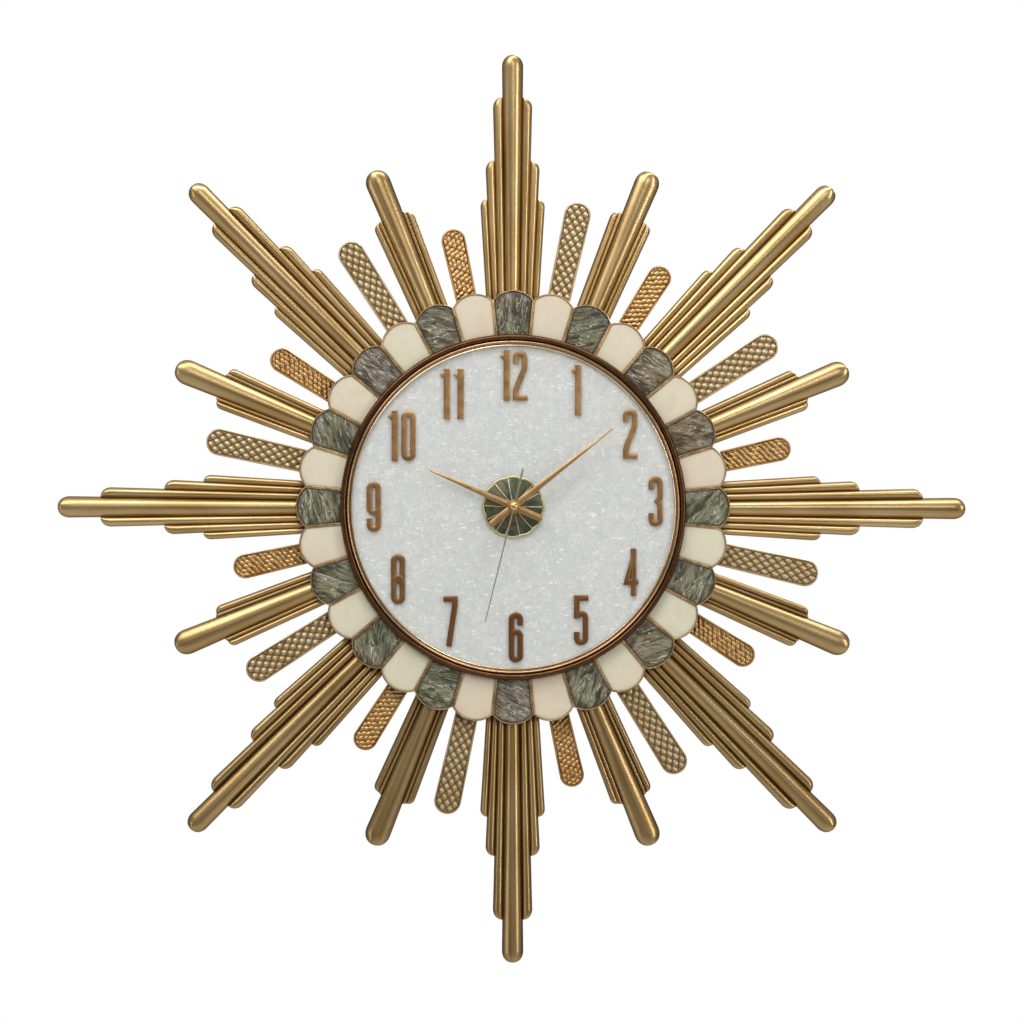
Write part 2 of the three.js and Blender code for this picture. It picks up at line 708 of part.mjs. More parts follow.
// A flat loop of soft iron: through the coil, down both sides, and round the rotor.
const stator = () => {
  const [rx, ry] = AXIS.rotor;
  const low = COIL.z - 0.4;
  const high = COIL.z + 0.4;
  const limb = (x, side) => {
    const points = [
      [x + 3 * side, 24.3],
      [x + 3 * side, 19],
      [rx + 4.6 * side, ry - 1.6],
      [rx + 3 * side, ry + 1.6],
      [x + 0.8 * side, 19.8],
      [x + 0.8 * side, 24.3],
    ];
    return plate(side < 0 ? points : points.reverse(), low, high);
  };
  return cut(
    join(
      block(COIL.x0 - 3, COIL.x1 + 3, COIL.y - 1.1, COIL.y + 1.1, low, high),
      limb(COIL.x0, -1),
      limb(COIL.x1, 1),
      disc(5, low, high, 24, rx, ry),
    ),
    disc(MAGNET_R + 0.6, low - 1, high + 1, 24, rx, ry),
  );
};
// The board with its blob-covered chip and the crystal's can.
const circuitBoard = () =>
  join(
    block(-25.5, -6, 14, 26, 4, 5),
    disc(2.6, 4.9, 6.2, 16, -12, 19),
    rodAlongX(1, -24, -18, 22.5, 5.8, 12),
    block(-23.6, -18.4, 21.8, 23.2, 4.9, 5.8),
  );
const bearingPlate = () =>
  cut(
    block(-26, 26, -11.4, 19.4, 9.4, 10.2),
    disc(SHAFT.minute + 0.5, 9, 11, 16),
    disc(0.8, 9, 11, 12, ...AXIS.third),
    disc(0.8, 9, 11, 12, ...AXIS.inter),
    disc(0.8, 9, 11, 12, ...AXIS.rotor),
    disc(1.3, 9, 11, 12, ...AXIS.minute),
  );

const CASE_WALL = 1;
const COVER_FRONT = 1.2;
const BAY_TOP = -11.9; // upper edge of the open battery bay
function movementCase() {
  const inner = CASE_HALF - CASE_WALL;
  return cut(
    join(
      cut(
        block(-CASE_HALF, CASE_HALF, -CASE_HALF, CASE_HALF, COVER_FRONT + GAP, MOVEMENT_FRONT),
        block(-inner, inner, -inner, inner, 0, MOVEMENT_FRONT - 1),
      ),
      disc(SHAFT.bush, MOVEMENT_FRONT - 1, 25.4, 16),
    ),
    disc(SHAFT.bushBore, 10, 27, 16),
  );
}
const KNOB_R = 6.6;
const movementCover = () =>
  cut(
    block(-CASE_HALF, CASE_HALF, BAY_TOP, CASE_HALF, 0, COVER_FRONT),
    disc(KNOB_R + 0.5, -1, 2, 24, ...AXIS.minute),
  );
// The knob has a finger groove across its rear face.
const settingKnob = () =>
  cut(
    join(disc(KNOB_R, 0.4, 2.2, 24, ...AXIS.minute), disc(2.2, 2, 4, 16, ...AXIS.minute)),
    disc(1.15, 2.5, 5, 12, ...AXIS.minute),
    block(AXIS.minute[0] - KNOB_R, AXIS.minute[0] + KNOB_R, -0.9, 0.9, 0, 1.1),
  );

// ---- Back pan -----------------------------------------------------------------------------------
const KEYHOLE = { headR: 5.5, slotHalf: 2.7, headY: 82, slotY: 94 };
const MOVEMENT_WINDOW = 32; // half side of the square hole that the movement passes through
function backPan() {
  const back = PAN_FRONT - PAN_SHEET;
  return cut(
    join(disc(PAN_R, back, PAN_FRONT, 48), tube(HOOP_R, HOOP_R - 2, 0, back + 0.5, 48)),
    block(-MOVEMENT_WINDOW, MOVEMENT_WINDOW, -MOVEMENT_WINDOW, MOVEMENT_WINDOW, 0, PAN_FRONT + 1),
    disc(KEYHOLE.headR, 0, PAN_FRONT + 1, 20, 0, KEYHOLE.headY),
    disc(KEYHOLE.slotHalf, 0, PAN_FRONT + 1, 16, 0, KEYHOLE.slotY),
    block(-KEYHOLE.slotHalf, KEYHOLE.slotHalf, KEYHOLE.headY, KEYHOLE.slotY, 0, PAN_FRONT + 1),
  );
}

// ---- Assembly -----------------------------------------------------------------------------------
const clock = new THREE.Group();

function place(name, solid, material, angle = 0, z = 0) {
  const mesh = new THREE.Mesh(geometryOf(solid), material);
  mesh.name = name;
  mesh.rotation.z = angle;
  mesh.position.z = z;
  clock.add(mesh);
}

const twoDigits = (n) => String(n).padStart(2, "0");
const clockwise = (degrees) => (-degrees * Math.PI) / 180;

// Each group of rays, clockwise from twelve: long fluted, long textured, medium fluted, short textured.
const longRay = flutedRay(LONG_FLUTES, TIP_R.long);
const mediumRay = flutedRay(MEDIUM_FLUTES, TIP_R.medium);
const longTextured = texturedRay(TEXTURED_LONG);
const shortTextured = texturedRay(TEXTURED_SHORT);
for (let k = 0; k < RAY_GROUPS; k++) {
  const at = (-k * TURN) / RAY_GROUPS;
  const mediumAt = at - TURN / RAY_GROUPS / 2;
  const number = twoDigits(k + 1);
  place(`fluted_ray_long_${number}`, longRay, BRASS, at, RAY_BACK);
  place(`textured_ray_long_${number}`, longTextured, PALE_BRASS, mediumAt + TEXTURED_OFFSET, RAY_BACK);
  place(`fluted_ray_medium_${number}`, mediumRay, BRASS, mediumAt, RAY_BACK);
  place(`textured_ray_short_${number}`, shortTextured, PALE_BRASS, mediumAt - TEXTURED_OFFSET, RAY_BACK);
}

place("back_pan", backPan(), STEEL);
place("petal_tray", petalTray(), BRASS);
place("ivory_inlays", inlays(1, DIAL_BACK, DIAL_BACK + 0.9), IVORY);
place("shell_inlays", inlays(0, DIAL_BACK + 1.2, DIAL_BACK + 2.1), SHELL);
place("bezel", turned(BEZEL_PROFILE, 40), COPPER);
place("dial_disc", dialDisc(), DIAL_WHITE);
place("rosette", turned(ROSETTE_PROFILE, 16), GREEN);
place("hex_nut", hexNut(), ZINC);

place("movement_case", movementCase(), PLASTIC);
place("movement_cover", movementCover(), PLASTIC);
place("bearing_plate", bearingPlate(), NYLON);
place("circuit_board", circuitBoard(), BOARD);
place("coil", coil(), WINDING);
place("stator", stator(), ZINC);
place("contact_positive", contactPositive(), ZINC);
place("contact_negative", contactNegative(), ZINC);
place("battery", battery(), CELL_WRAP);

place("rotor", rotor(), ZINC);
place("intermediate_wheel", intermediateWheel(), NYLON);
place("third_wheel", thirdWheel(), NYLON);
place("second_wheel", secondWheel(), NYLON);
place("centre_wheel", centreWheel(), NYLON);
place("minute_wheel", minuteWheel(), NYLON);
place("setting_knob", settingKnob(), PLASTIC);
place("hour_wheel", hourWheel(), NYLON);

place("hour_hand", hand(HANDS.hour), BRASS, clockwise(HAND_ANGLE.hour));
place("minute_hand", hand(HANDS.minute), BRASS, clockwise(HAND_ANGLE.minute));
place("second_hand", secondHand(), BRASS, clockwise(HAND_ANGLE.second));

clock.rotation.x = Math.PI / 2;
const part = new THREE.Group();
part.add(clock);

export default part;
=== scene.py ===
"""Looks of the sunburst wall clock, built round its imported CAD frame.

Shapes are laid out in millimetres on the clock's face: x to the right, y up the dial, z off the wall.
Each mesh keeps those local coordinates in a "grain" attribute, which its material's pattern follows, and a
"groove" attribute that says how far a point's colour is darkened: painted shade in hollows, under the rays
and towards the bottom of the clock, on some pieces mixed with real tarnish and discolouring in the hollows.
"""

import math

import bmesh
import bpy
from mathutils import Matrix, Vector
from mathutils.geometry import tessellate_polygon


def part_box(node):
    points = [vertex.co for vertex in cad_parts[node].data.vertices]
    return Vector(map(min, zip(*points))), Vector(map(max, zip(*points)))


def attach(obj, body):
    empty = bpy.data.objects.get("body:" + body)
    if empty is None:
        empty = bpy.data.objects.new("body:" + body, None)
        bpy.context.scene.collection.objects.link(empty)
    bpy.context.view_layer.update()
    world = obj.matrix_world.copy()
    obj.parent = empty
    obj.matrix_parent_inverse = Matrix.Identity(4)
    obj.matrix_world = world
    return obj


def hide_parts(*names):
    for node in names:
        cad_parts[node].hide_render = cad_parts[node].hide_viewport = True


MM = 0.001
TURN = 2 * math.pi
CORNER_STEPS = 6
# Points nearer than this are one vertex, and edges sharper than this stay sharp.
WELD = 0.005
SHARP = math.radians(35)
# How far one step of a piece's seed moves its pattern, to the right and up.
SEED_RIGHT, SEED_UP = 37, 53

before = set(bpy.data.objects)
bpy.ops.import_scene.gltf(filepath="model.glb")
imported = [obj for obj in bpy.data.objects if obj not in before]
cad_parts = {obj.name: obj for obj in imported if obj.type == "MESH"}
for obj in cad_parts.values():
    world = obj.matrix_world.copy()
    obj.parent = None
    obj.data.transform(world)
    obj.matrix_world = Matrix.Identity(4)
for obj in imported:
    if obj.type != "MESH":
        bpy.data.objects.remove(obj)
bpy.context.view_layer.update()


# ---- Places and sizes from the frame
def span(node):
    """A node's box on the face, in mm: ((x0, y0, z0), (x1, y1, z1)) with z off the wall."""
    low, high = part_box(node)
    return (
        (low.x / MM, low.z / MM, -high.y / MM),
        (high.x / MM, high.z / MM, -low.y / MM),
    )


(_, RAY_FOOT, RAY_BACK), (_, LONG_TIP, _) = span("fluted_ray_long_01")
(_, _, TRAY_BACK), (_, PETAL_TIP, TRAY_TOP) = span("petal_tray")
(_, _, TILE_BACK), (_, _, TILE_TOP) = span("ivory_inlays")
(_, _, BEZEL_LOW), (BEZEL_R, _, BEZEL_TOP) = span("bezel")
(_, _, DIAL_BACK), (DIAL_R, _, FIGURE_TOP) = span("dial_disc")
(_, _, ROSETTE_LOW), (ROSETTE_R, _, ROSETTE_TOP) = span("rosette")
(_, _, CASE_REAR), (CASE_HALF, _, BUSH_TOP) = span("movement_case")
_, _, TEXTURED_TOP = span("textured_ray_long_01")[1]
PAN_R, _, PAN_FRONT = span("back_pan")[1]
COVER_LOW, COVER_HIGH = span("movement_cover")
KNOB_LOW, KNOB_HIGH = span("setting_knob")
CELL_LOW, CELL_HIGH = span("battery")
CELL_Y, CELL_Z = ((CELL_HIGH[i] + CELL_LOW[i]) / 2 for i in (1, 2))

PETALS = 32
PETAL_HALF = TURN / PETALS / 2
PETAL_NOTCH = 157.0
FIGURE_RISE = 2.2
DIAL_FRONT = FIGURE_TOP - FIGURE_RISE
TRAY_FLOOR = TRAY_BACK + 1.5
BEZEL_INNER_R = 121.2
MEDIUM_TIP = 274.6


# ---- Meshes
class Shape:
    """Vertices and faces in mm, with a shade from 0 (open) to 1 (darkest) for each vertex: painted shade
    and tarnish.
    """

    def __init__(self):
        self.points = []
        self.faces = []
        self.shade = []

    def add(self, points, faces, shade=None):
        start = len(self.points)
        self.points.extend(points)
        self.faces.extend([tuple(start + i for i in face) for face in faces])
        self.shade.extend(shade or [0.0] * len(points))
        return self

    def join(self, other):
        return self.add(other.points, other.faces, other.shade)


def loft(rings, capped=True, looped=False, shade=None):
    """A skin through closed rings of equal count. Its ends are capped, or looped round to each other."""
    count = len(rings[0])
    total = len(rings)
    faces = []
    for i in range(total if looped else total - 1):
        for j in range(count):
            a = i * count
            b = ((i + 1) % total) * count
            k = (j + 1) % count
            faces.append((a + j, a + k, b + k, b + j))
    if capped and not looped:
        last = (total - 1) * count
        faces.append(tuple(range(count - 1, -1, -1)))
        faces.append(tuple(range(last, last + count)))
    return Shape().add([p for ring in rings for p in ring], faces, shade)


def lathe(profile, steps=192, lobe=None):
    """A closed profile of (radius, z) points turned about z. lobe scales the radius at each angle."""
    rings = []
    for i in range(steps):
        a = TURN * i / steps
        swell = lobe(a) if lobe else 1.0
        rings.append([(r * swell * math.sin(a), r * swell * math.cos(a), z) for r, z in profile])
    return loft(rings, looped=True)


def offsets(r, z, *steps):
    """A profile's points, each given as its steps from a radius and a height."""
    return [(r + dr, z + dz) for dr, dz in steps]


def arc(cx, cy, radius, start, end, steps=8):
    """Points on an arc, angles in degrees."""
    angles = [math.radians(start + (end - start) * i / steps) for i in range(steps + 1)]
    return [(cx + radius * math.cos(a), cy + radius * math.sin(a)) for a in angles]


def rounded_box(half_x, half_y, radius, cx=0.0, cy=0.0):
    """A rectangle with round corners, anticlockwise."""
    x, y = half_x - radius, half_y - radius
    loop = []
    for sx, sy, start in ((1, 1, 0), (-1, 1, 90), (-1, -1, 180), (1, -1, 270)):
        loop += arc(cx + sx * x, cy + sy * y, radius, start, start + 90, CORNER_STEPS)
    return loop


def circle(radius, cx=0.0, cy=0.0, steps=96):
    return arc(cx, cy, radius, 0, 360, steps)[:-1]


def eased(loop, distance):
    """A loop moved to its left by a distance, which is into the metal for an anticlockwise outer loop."""
    moved = []
    for i, (x, y) in enumerate(loop):
        ax, ay = loop[i - 1]
        bx, by = loop[(i + 1) % len(loop)]
        length = math.hypot(bx - ax, by - ay)
        moved.append((x - distance * (by - ay) / length, y + distance * (bx - ax) / length))
    return moved


def sheet(outer, holes, low, high, ease):
    """A flat plate with eased edges, from an anticlockwise outer loop and hole loops."""
    loops = [outer] + [list(reversed(hole)) for hole in holes]
    faces = [eased(loop, ease) for loop in loops]
    shape = Shape()
    for loop, face in zip(loops, faces):
        levels = ((face, low), (loop, low + ease), (loop, high - ease), (face, high))
        shape.join(loft([[(x, y, z) for x, y in ring] for ring, z in levels], capped=False))
    flat = [[Vector((x, y, 0)) for x, y in face] for face in faces]
    triangles = tessellate_polygon(flat)
    points = [p for face in faces for p in face]
    for z in (low, high):
        shape.add([(x, y, z) for x, y in points], triangles)
    return shape


def turn_point(point, angle):
    """A point turned clockwise about the dial's centre."""
    x, y, z = point
    return (
        x * math.cos(angle) + y * math.sin(angle),
        -x * math.sin(angle) + y * math.cos(angle),
        z,
    )


def turned(shape, angle, shift=(0, 0, 0)):
    """A copy of a shape, turned clockwise and moved."""
    moved = [turn_point(p, angle) for p in shape.points]
    points = [(x + shift[0], y + shift[1], z + shift[2]) for x, y, z in moved]
    return Shape().add(points, shape.faces, shape.shade)


def linked(name, data):
    """A new object in the scene."""
    made = bpy.data.objects.new(name, data)
    bpy.context.scene.collection.objects.link(made)
    return made


def piece(
    name, shape, look, node, body="clock",
    angle=0.0, shift=(0, 0, 0), seed=0.0, twist=0.0, painted_shade=0.0,
):
    """A mesh object in the row frame, turned clockwise by angle and moved by shift, in place of a CAD node.

    seed moves its look's pattern, twist turns it, and the last argument darkens all of it with painted
    shade.
    """
    placed = turned(shape, angle, shift)
    mesh = bpy.data.meshes.new(name)
    mesh.from_pydata([(x * MM, -z * MM, y * MM) for x, y, z in placed.points], [], placed.faces)
    grain = mesh.attributes.new("grain", "FLOAT_VECTOR", "POINT")
    local = [turn_point(p, twist) for p in shape.points]
    seeded = [(x + seed * SEED_RIGHT, y + seed * SEED_UP, z) for x, y, z in local]
    grain.data.foreach_set("vector", [c for point in seeded for c in point])
    groove = mesh.attributes.new("groove", "FLOAT", "POINT")
    # The last argument lays painted shade over the whole piece, on top of its shade values.
    groove.data.foreach_set("value", [shade + painted_shade * (1 - shade) for shade in shape.shade])
    welded = bmesh.new()
    welded.from_mesh(mesh)
    bmesh.ops.remove_doubles(welded, verts=welded.verts, dist=WELD * MM)
    bmesh.ops.recalc_face_normals(welded, faces=welded.faces)
    welded.to_mesh(mesh)
    welded.free()
    mesh.materials.append(LOOKS[look])
    mesh.shade_smooth()
    mesh.set_sharp_from_angle(angle=SHARP)
    obj = linked(name, mesh)
    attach(obj, body)
    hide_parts(node)


# ---- Material helpers
LOOKS = {}


class Nodes:
    """A node tree, with short calls for the nodes used here."""

    def __init__(self, tree):
        self.tree = tree

    def feed(self, value, socket):
        """A number, a vector, a colour or another node's output goes into a socket."""
        if isinstance(value, tuple):
            socket.default_value = (*value, 1.0) if socket.type == "RGBA" else value
        elif isinstance(value, (int, float)):
            socket.default_value = value
        else:
            self.tree.links.new(value, socket)

    def add(self, kind, result, feeds, **settings):
        """A new node with its inputs fed. Gives back its output of that name, or all where it is None."""
        made = self.tree.nodes.new(kind)
        for key, value in settings.items():
            setattr(made, key, value)
        for key, value in feeds.items():
            self.feed(value, made.inputs[key])
        return made.outputs[result] if result else made.outputs

    def grain(self, scale=(1, 1, 1), turn=0.0):
        """A piece's local coordinates in mm, stretched by scale."""
        source = self.add("ShaderNodeAttribute", "Vector", {}, attribute_name="grain")
        return self.mapped(source, scale, turn)

    def place(self, scale=1000.0):
        """A carried-over CAD node's own coordinates, in mm."""
        return self.mapped(self.add("ShaderNodeTexCoord", "Object", {}), (scale, scale, scale), 0.0)

    def mapped(self, vector, scale, turn):
        feeds = {"Vector": vector, "Scale": scale, "Rotation": (0, 0, turn)}
        return self.add("ShaderNodeMapping", "Vector", feeds)

    def groove(self):
        return self.add("ShaderNodeAttribute", "Fac", {}, attribute_name="groove")

    def noise(self, vector, scale, detail=4.0, rough=0.55, distort=0.0):
        feeds = {"Vector": vector, "Scale": scale, "Detail": detail}
        feeds.update({"Roughness": rough, "Distortion": distort})
        return self.add("ShaderNodeTexNoise", "Fac", feeds)

    def cells(self, vector):
        """Three random values for each cell of a Voronoi pattern, as its red, green and blue."""
        colour = self.add("ShaderNodeTexVoronoi", "Color", {"Vector": vector, "Scale": 1.0})
        return self.add("ShaderNodeSeparateColor", None, {"Color": colour})

    def ramp(self, factor, stops):
        """stops: [(position, colour or grey)]."""
        made = self.tree.nodes.new("ShaderNodeValToRGB")
        elements = made.color_ramp.elements
        while len(elements) < len(stops):
            elements.new(1.0)
        for element, (position, colour) in zip(elements, stops):
            element.position = position
            rgb = colour if isinstance(colour, tuple) else (colour, colour, colour)
            element.color = (*rgb, 1.0)
        self.feed(factor, made.inputs["Fac"])
        return made.outputs["Color"]

    def mix(self, factor, a, b, mode="MIX"):
        feeds = {"Factor": factor, "A": a, "B": b}
        return self.add("ShaderNodeMix", "Result", feeds, data_type="RGBA", blend_type=mode)

    def layered(self, base, *layers):
        """Colours laid over a base, each as far as its pattern's ramp says: (pattern, stops, colour)."""
        for pattern, stops, colour in layers:
            base = self.mix(self.ramp(pattern, stops), base, colour)
        return base

    def maths(self, operation, a, b):
        return self.add("ShaderNodeMath", "Value", {0: a, 1: b}, operation=operation)

    def bump(self, height, distance, strength=1.0, under=None):
        """distance in mm."""
        feeds = {"Height": height, "Strength": strength, "Distance": distance * MM}
        if under is not None:
            feeds["Normal"] = under
        return self.add("ShaderNodeBump", "Normal", feeds)


class Look(Nodes):
    """A material, kept in LOOKS under its name."""

    def __init__(self, name):
        material = bpy.data.materials.new(name)
        material.use_nodes = True
        super().__init__(material.node_tree)
        LOOKS[name] = material

    def finish(self, colour, roughness, normal=None, **more):
        """Feeds the shader. An underscore in the name of a further input stands for a space."""
        inputs = self.tree.nodes["Principled BSDF"].inputs
        self.feed(colour, inputs["Base Color"])
        self.feed(roughness, inputs["Roughness"])
        if normal is not None:
            self.feed(normal, inputs["Normal"])
        for key, value in more.items():
            self.feed(value, inputs[key.replace("_", " ")])


# ---- Materials
def brushed_brass(name, light, deep, patina_and_shade):
    """Antique brass drawn along each flute, with dark tarnish and painted shade in the valleys."""
    n = Look(name)
    lines = n.noise(n.grain((0.5, 0.006, 0.5)), 1.0, detail=2, rough=0.5)
    clouds = n.noise(n.grain((0.07, 0.012, 0.07)), 1.0, detail=3)
    base = n.mix(n.ramp(clouds, [(0.36, 0.0), (0.64, 1.0)]), deep, light)
    base = n.mix(n.ramp(lines, [(0.36, 0.2), (0.56, 0.0)]), base, patina_and_shade)
    # Tarnish and painted shade in the valleys, and painted shade under the rays and on the lower rays.
    base = n.mix(n.groove(), base, patina_and_shade)
    rough = n.ramp(lines, [(0.3, 0.26), (0.7, 0.34)])
    n.finish(base, rough, n.bump(lines, 0.05, strength=0.06), Metallic=1.0)


def embossed_brass(name, light, deep, stain_and_shade):
    """Cast brass with dark discolouring and painted shade between its raised bumps."""
    n = Look(name)
    speckle = n.noise(n.grain(), 0.8, detail=4, rough=0.6)
    clouds = n.noise(n.grain(), 0.06, detail=2)
    base = n.mix(n.ramp(clouds, [(0.35, 0.0), (0.65, 1.0)]), light, deep)
    # Discolouring and painted shade where the groove value says, broken up by the speckle.
    stain_and_shade_amount = n.maths("MULTIPLY", n.groove(), n.ramp(speckle, [(0.3, 0.72), (0.6, 1.0)]))
    base = n.mix(stain_and_shade_amount, base, stain_and_shade)
    rough = n.ramp(speckle, [(0.3, 0.32), (0.7, 0.44)])
    n.finish(base, rough, n.bump(speckle, 0.06, strength=0.2), Metallic=1.0)


def polished_metal(name, light, deep, roughness):
    """Turned or cast metal, polished, with faint tarnish and painted shade where its groove value says so.
    """
    n = Look(name)
    tarnish = n.noise(n.grain(), 0.12, detail=5, rough=0.6)
    hair = n.noise(n.grain(), 1.4, detail=3, rough=0.6)
    base = n.mix(n.ramp(tarnish, [(0.36, 0.0), (0.66, 0.6)]), light, deep)
    # Painted shade towards the deep colour: lower figures, petal wires' feet and the petal plate.
    base = n.mix(n.groove(), base, deep)
    rough = n.ramp(hair, [(0.3, roughness - 0.04), (0.7, roughness + 0.07)])
    n.finish(base, rough, n.bump(hair, 0.02, strength=0.1), Metallic=1.0)


def ivory_enamel():
    """Smooth cream enamel with faint clouds."""
    n = Look("ivory_enamel")
    clouds = n.noise(n.grain(), 0.05, detail=4, distort=0.6)
    fine = n.noise(n.grain(), 0.5, detail=4)
    whole_tile = n.noise(n.grain(), 0.011, detail=1)
    cream = [(0.3, (0.68, 0.61, 0.48)), (0.5, (0.72, 0.67, 0.54)), (0.7, (0.69, 0.63, 0.52))]
    tints = [(0.36, (1.0, 0.92, 0.88)), (0.5, (1.0, 0.98, 0.95)), (0.62, (0.96, 1.0, 0.94))]
    base = n.mix(1.0, n.ramp(clouds, cream), n.ramp(whole_tile, tints), "MULTIPLY")
    base = n.mix(n.ramp(fine, [(0.55, 0.0), (0.75, 0.16)]), base, (0.84, 0.79, 0.67))
    # Painted shade along the tile's eased edge.
    base = n.mix(n.maths("MULTIPLY", n.groove(), 0.4), base, (0.45, 0.34, 0.22))
    rough = n.ramp(fine, [(0.3, 0.26), (0.7, 0.38)])
    n.finish(base, rough, n.bump(fine, 0.03, strength=0.4), Coat_Weight=0.2, Coat_Roughness=0.15)


def dark_shell():
    """Abalone: crumpled dark layers of green, grey, violet and brown with a few pale silvery streaks."""
    n = Look("dark_shell")
    whole_tile = n.noise(n.grain(), 0.013, detail=1)
    patches = n.noise(n.grain((0.11, 0.05, 0.1)), 1.0, detail=3, rough=0.5, distort=1.0)
    layers = n.noise(n.grain((0.20, 0.040, 0.2), 0.12), 1.0, detail=3, rough=0.55, distort=1.6)
    streaks = n.noise(n.grain((0.17, 0.030, 0.2), 0.4), 1.0, detail=2, rough=0.5, distort=2.2)
    cracks = n.noise(n.grain((0.14, 0.035, 0.2), -0.3), 1.0, detail=2, rough=0.5, distort=2.0)
    fine = n.noise(n.grain((0.7, 0.16, 0.7), 0.2), 1.0, detail=4, rough=0.65, distort=0.8)
    depth = [
        (0.34, (0.036, 0.031, 0.018)),
        (0.45, (0.140, 0.120, 0.068)),
        (0.55, (0.275, 0.245, 0.165)),
        (0.66, (0.095, 0.088, 0.052)),
    ]
    tints = [
        (0.34, (1.0, 0.78, 0.58)),
        (0.42, (1.0, 0.92, 0.74)),
        (0.50, (0.80, 0.98, 0.72)),
        (0.57, (0.94, 0.96, 0.86)),
        (0.66, (0.96, 0.84, 0.98)),
    ]
    base = n.mix(0.9, n.ramp(layers, depth), n.ramp(whole_tile, tints), "MULTIPLY")
    base = n.layered(
        base,
        (patches, [(0.36, 0.75), (0.50, 0.0)], (0.030, 0.030, 0.018)),
        (patches, [(0.52, 0.0), (0.64, 0.5)], (0.34, 0.33, 0.26)),
        (fine, [(0.36, 0.45), (0.52, 0.0)], (0.035, 0.036, 0.022)),
        (cracks, [(0.45, 0.0), (0.475, 0.9), (0.50, 0.0)], (0.012, 0.013, 0.007)),
        (streaks, [(0.545, 0.0), (0.565, 0.9), (0.59, 0.0)], (0.66, 0.66, 0.58)),
    )
    # Painted shade along the tile's eased edge.
    base = n.mix(n.groove(), base, (0.040, 0.026, 0.012))
    rough = n.ramp(streaks, [(0.3, 0.24), (0.7, 0.42)])
    creased = n.bump(cracks, 1.0, strength=0.4)
    normal = n.bump(layers, 0.7, strength=0.5, under=creased)
    n.finish(base, rough, normal, Coat_Weight=0.2, Coat_Roughness=0.12)


def pearl_dial():
    """Crushed mother-of-pearl: small pale flakes of different brightness and tilt under lacquer."""
    n = Look("pearl_dial")
    warp = n.noise(n.grain(), 0.03, detail=3)
    mottle = n.noise(n.grain(), 0.16, detail=5, rough=0.65, distort=0.6)
    flakes = n.cells(n.grain((0.45, 0.80, 1), 0.6))
    chips = n.cells(n.grain((0.85, 0.42, 1), -0.5))
    slivers = n.cells(n.grain((0.36, 1.00, 1), -1.1))
    dust = n.noise(n.grain(), 0.7, detail=5, rough=0.7)
    shades = [(0.0, (0.600, 0.625, 0.622)), (0.6, (0.635, 0.650, 0.642)), (1.0, (0.670, 0.682, 0.670))]
    tints = [(0.36, (0.98, 1.0, 0.99)), (0.5, (1.0, 0.99, 0.98)), (0.62, (0.97, 0.985, 1.0))]
    base = n.mix(1.0, n.ramp(flakes["Red"], shades), n.ramp(warp, tints), "MULTIPLY")
    base = n.layered(
        base,
        (mottle, [(0.36, 0.45), (0.52, 0.0)], (0.54, 0.575, 0.585)),
        (mottle, [(0.52, 0.0), (0.66, 0.4)], (0.76, 0.77, 0.76)),
        (chips["Green"], [(0.92, 0.0), (0.99, 0.5)], (0.88, 0.89, 0.88)),
        (slivers["Red"], [(0.95, 0.0), (1.0, 0.7)], (0.95, 0.95, 0.94)),
        (dust, [(0.58, 0.0), (0.74, 0.35)], (0.84, 0.85, 0.84)),
    )
    rough = n.ramp(flakes["Blue"], [(0.0, 0.2), (1.0, 0.5)])
    tilt = n.bump(mottle, 0.5, strength=0.5)
    normal = n.bump(dust, 0.08, strength=0.4, under=tilt)
    n.finish(base, rough, normal, Coat_Weight=0.2, Coat_Roughness=0.15)


def green_enamel():
    """Dark green enamel that turns brown in patches."""
    n = Look("green_enamel")
    bands = n.noise(n.grain(), 0.08, detail=4, rough=0.55, distort=1.0)
    tones = [
        (0.36, (0.012, 0.013, 0.006)),
        (0.46, (0.030, 0.048, 0.016)),
        (0.52, (0.055, 0.070, 0.028)),
        (0.57, (0.120, 0.078, 0.032)),
        (0.68, (0.070, 0.040, 0.017)),
    ]
    rough = n.ramp(bands, [(0.3, 0.28), (0.7, 0.42)])
    normal = n.bump(bands, 0.05, strength=0.5)
    n.finish(n.ramp(bands, tones), rough, normal, Coat_Weight=0.15, Coat_Roughness=0.2)


def surface(name, vector_of, colour, lift, roughness, metallic=0.0):
    """Moulded, painted or plated skin: a fine grain and a slight drift of colour."""
    n = Look(name)
    vector = vector_of(n)
    skin = n.noise(vector, 2.0, detail=4, rough=0.65)
    drift = n.noise(vector, 0.1, detail=3)
    base = n.mix(n.ramp(drift, [(0.3, 0.0), (0.7, 1.0)]), colour, lift)
    rough = n.ramp(skin, [(0.3, roughness - 0.08), (0.7, roughness + 0.1)])
    n.finish(base, rough, n.bump(skin, 0.04, strength=0.5), Metallic=metallic)


brushed_brass("fluted_brass", (0.68, 0.495, 0.25), (0.52, 0.345, 0.145), (0.082, 0.042, 0.012))
embossed_brass("embossed_pale_brass", (0.88, 0.71, 0.45), (0.76, 0.57, 0.31), (0.16, 0.095, 0.036))
embossed_brass("embossed_copper_brass", (0.76, 0.50, 0.225), (0.62, 0.37, 0.14), (0.21, 0.10, 0.033))
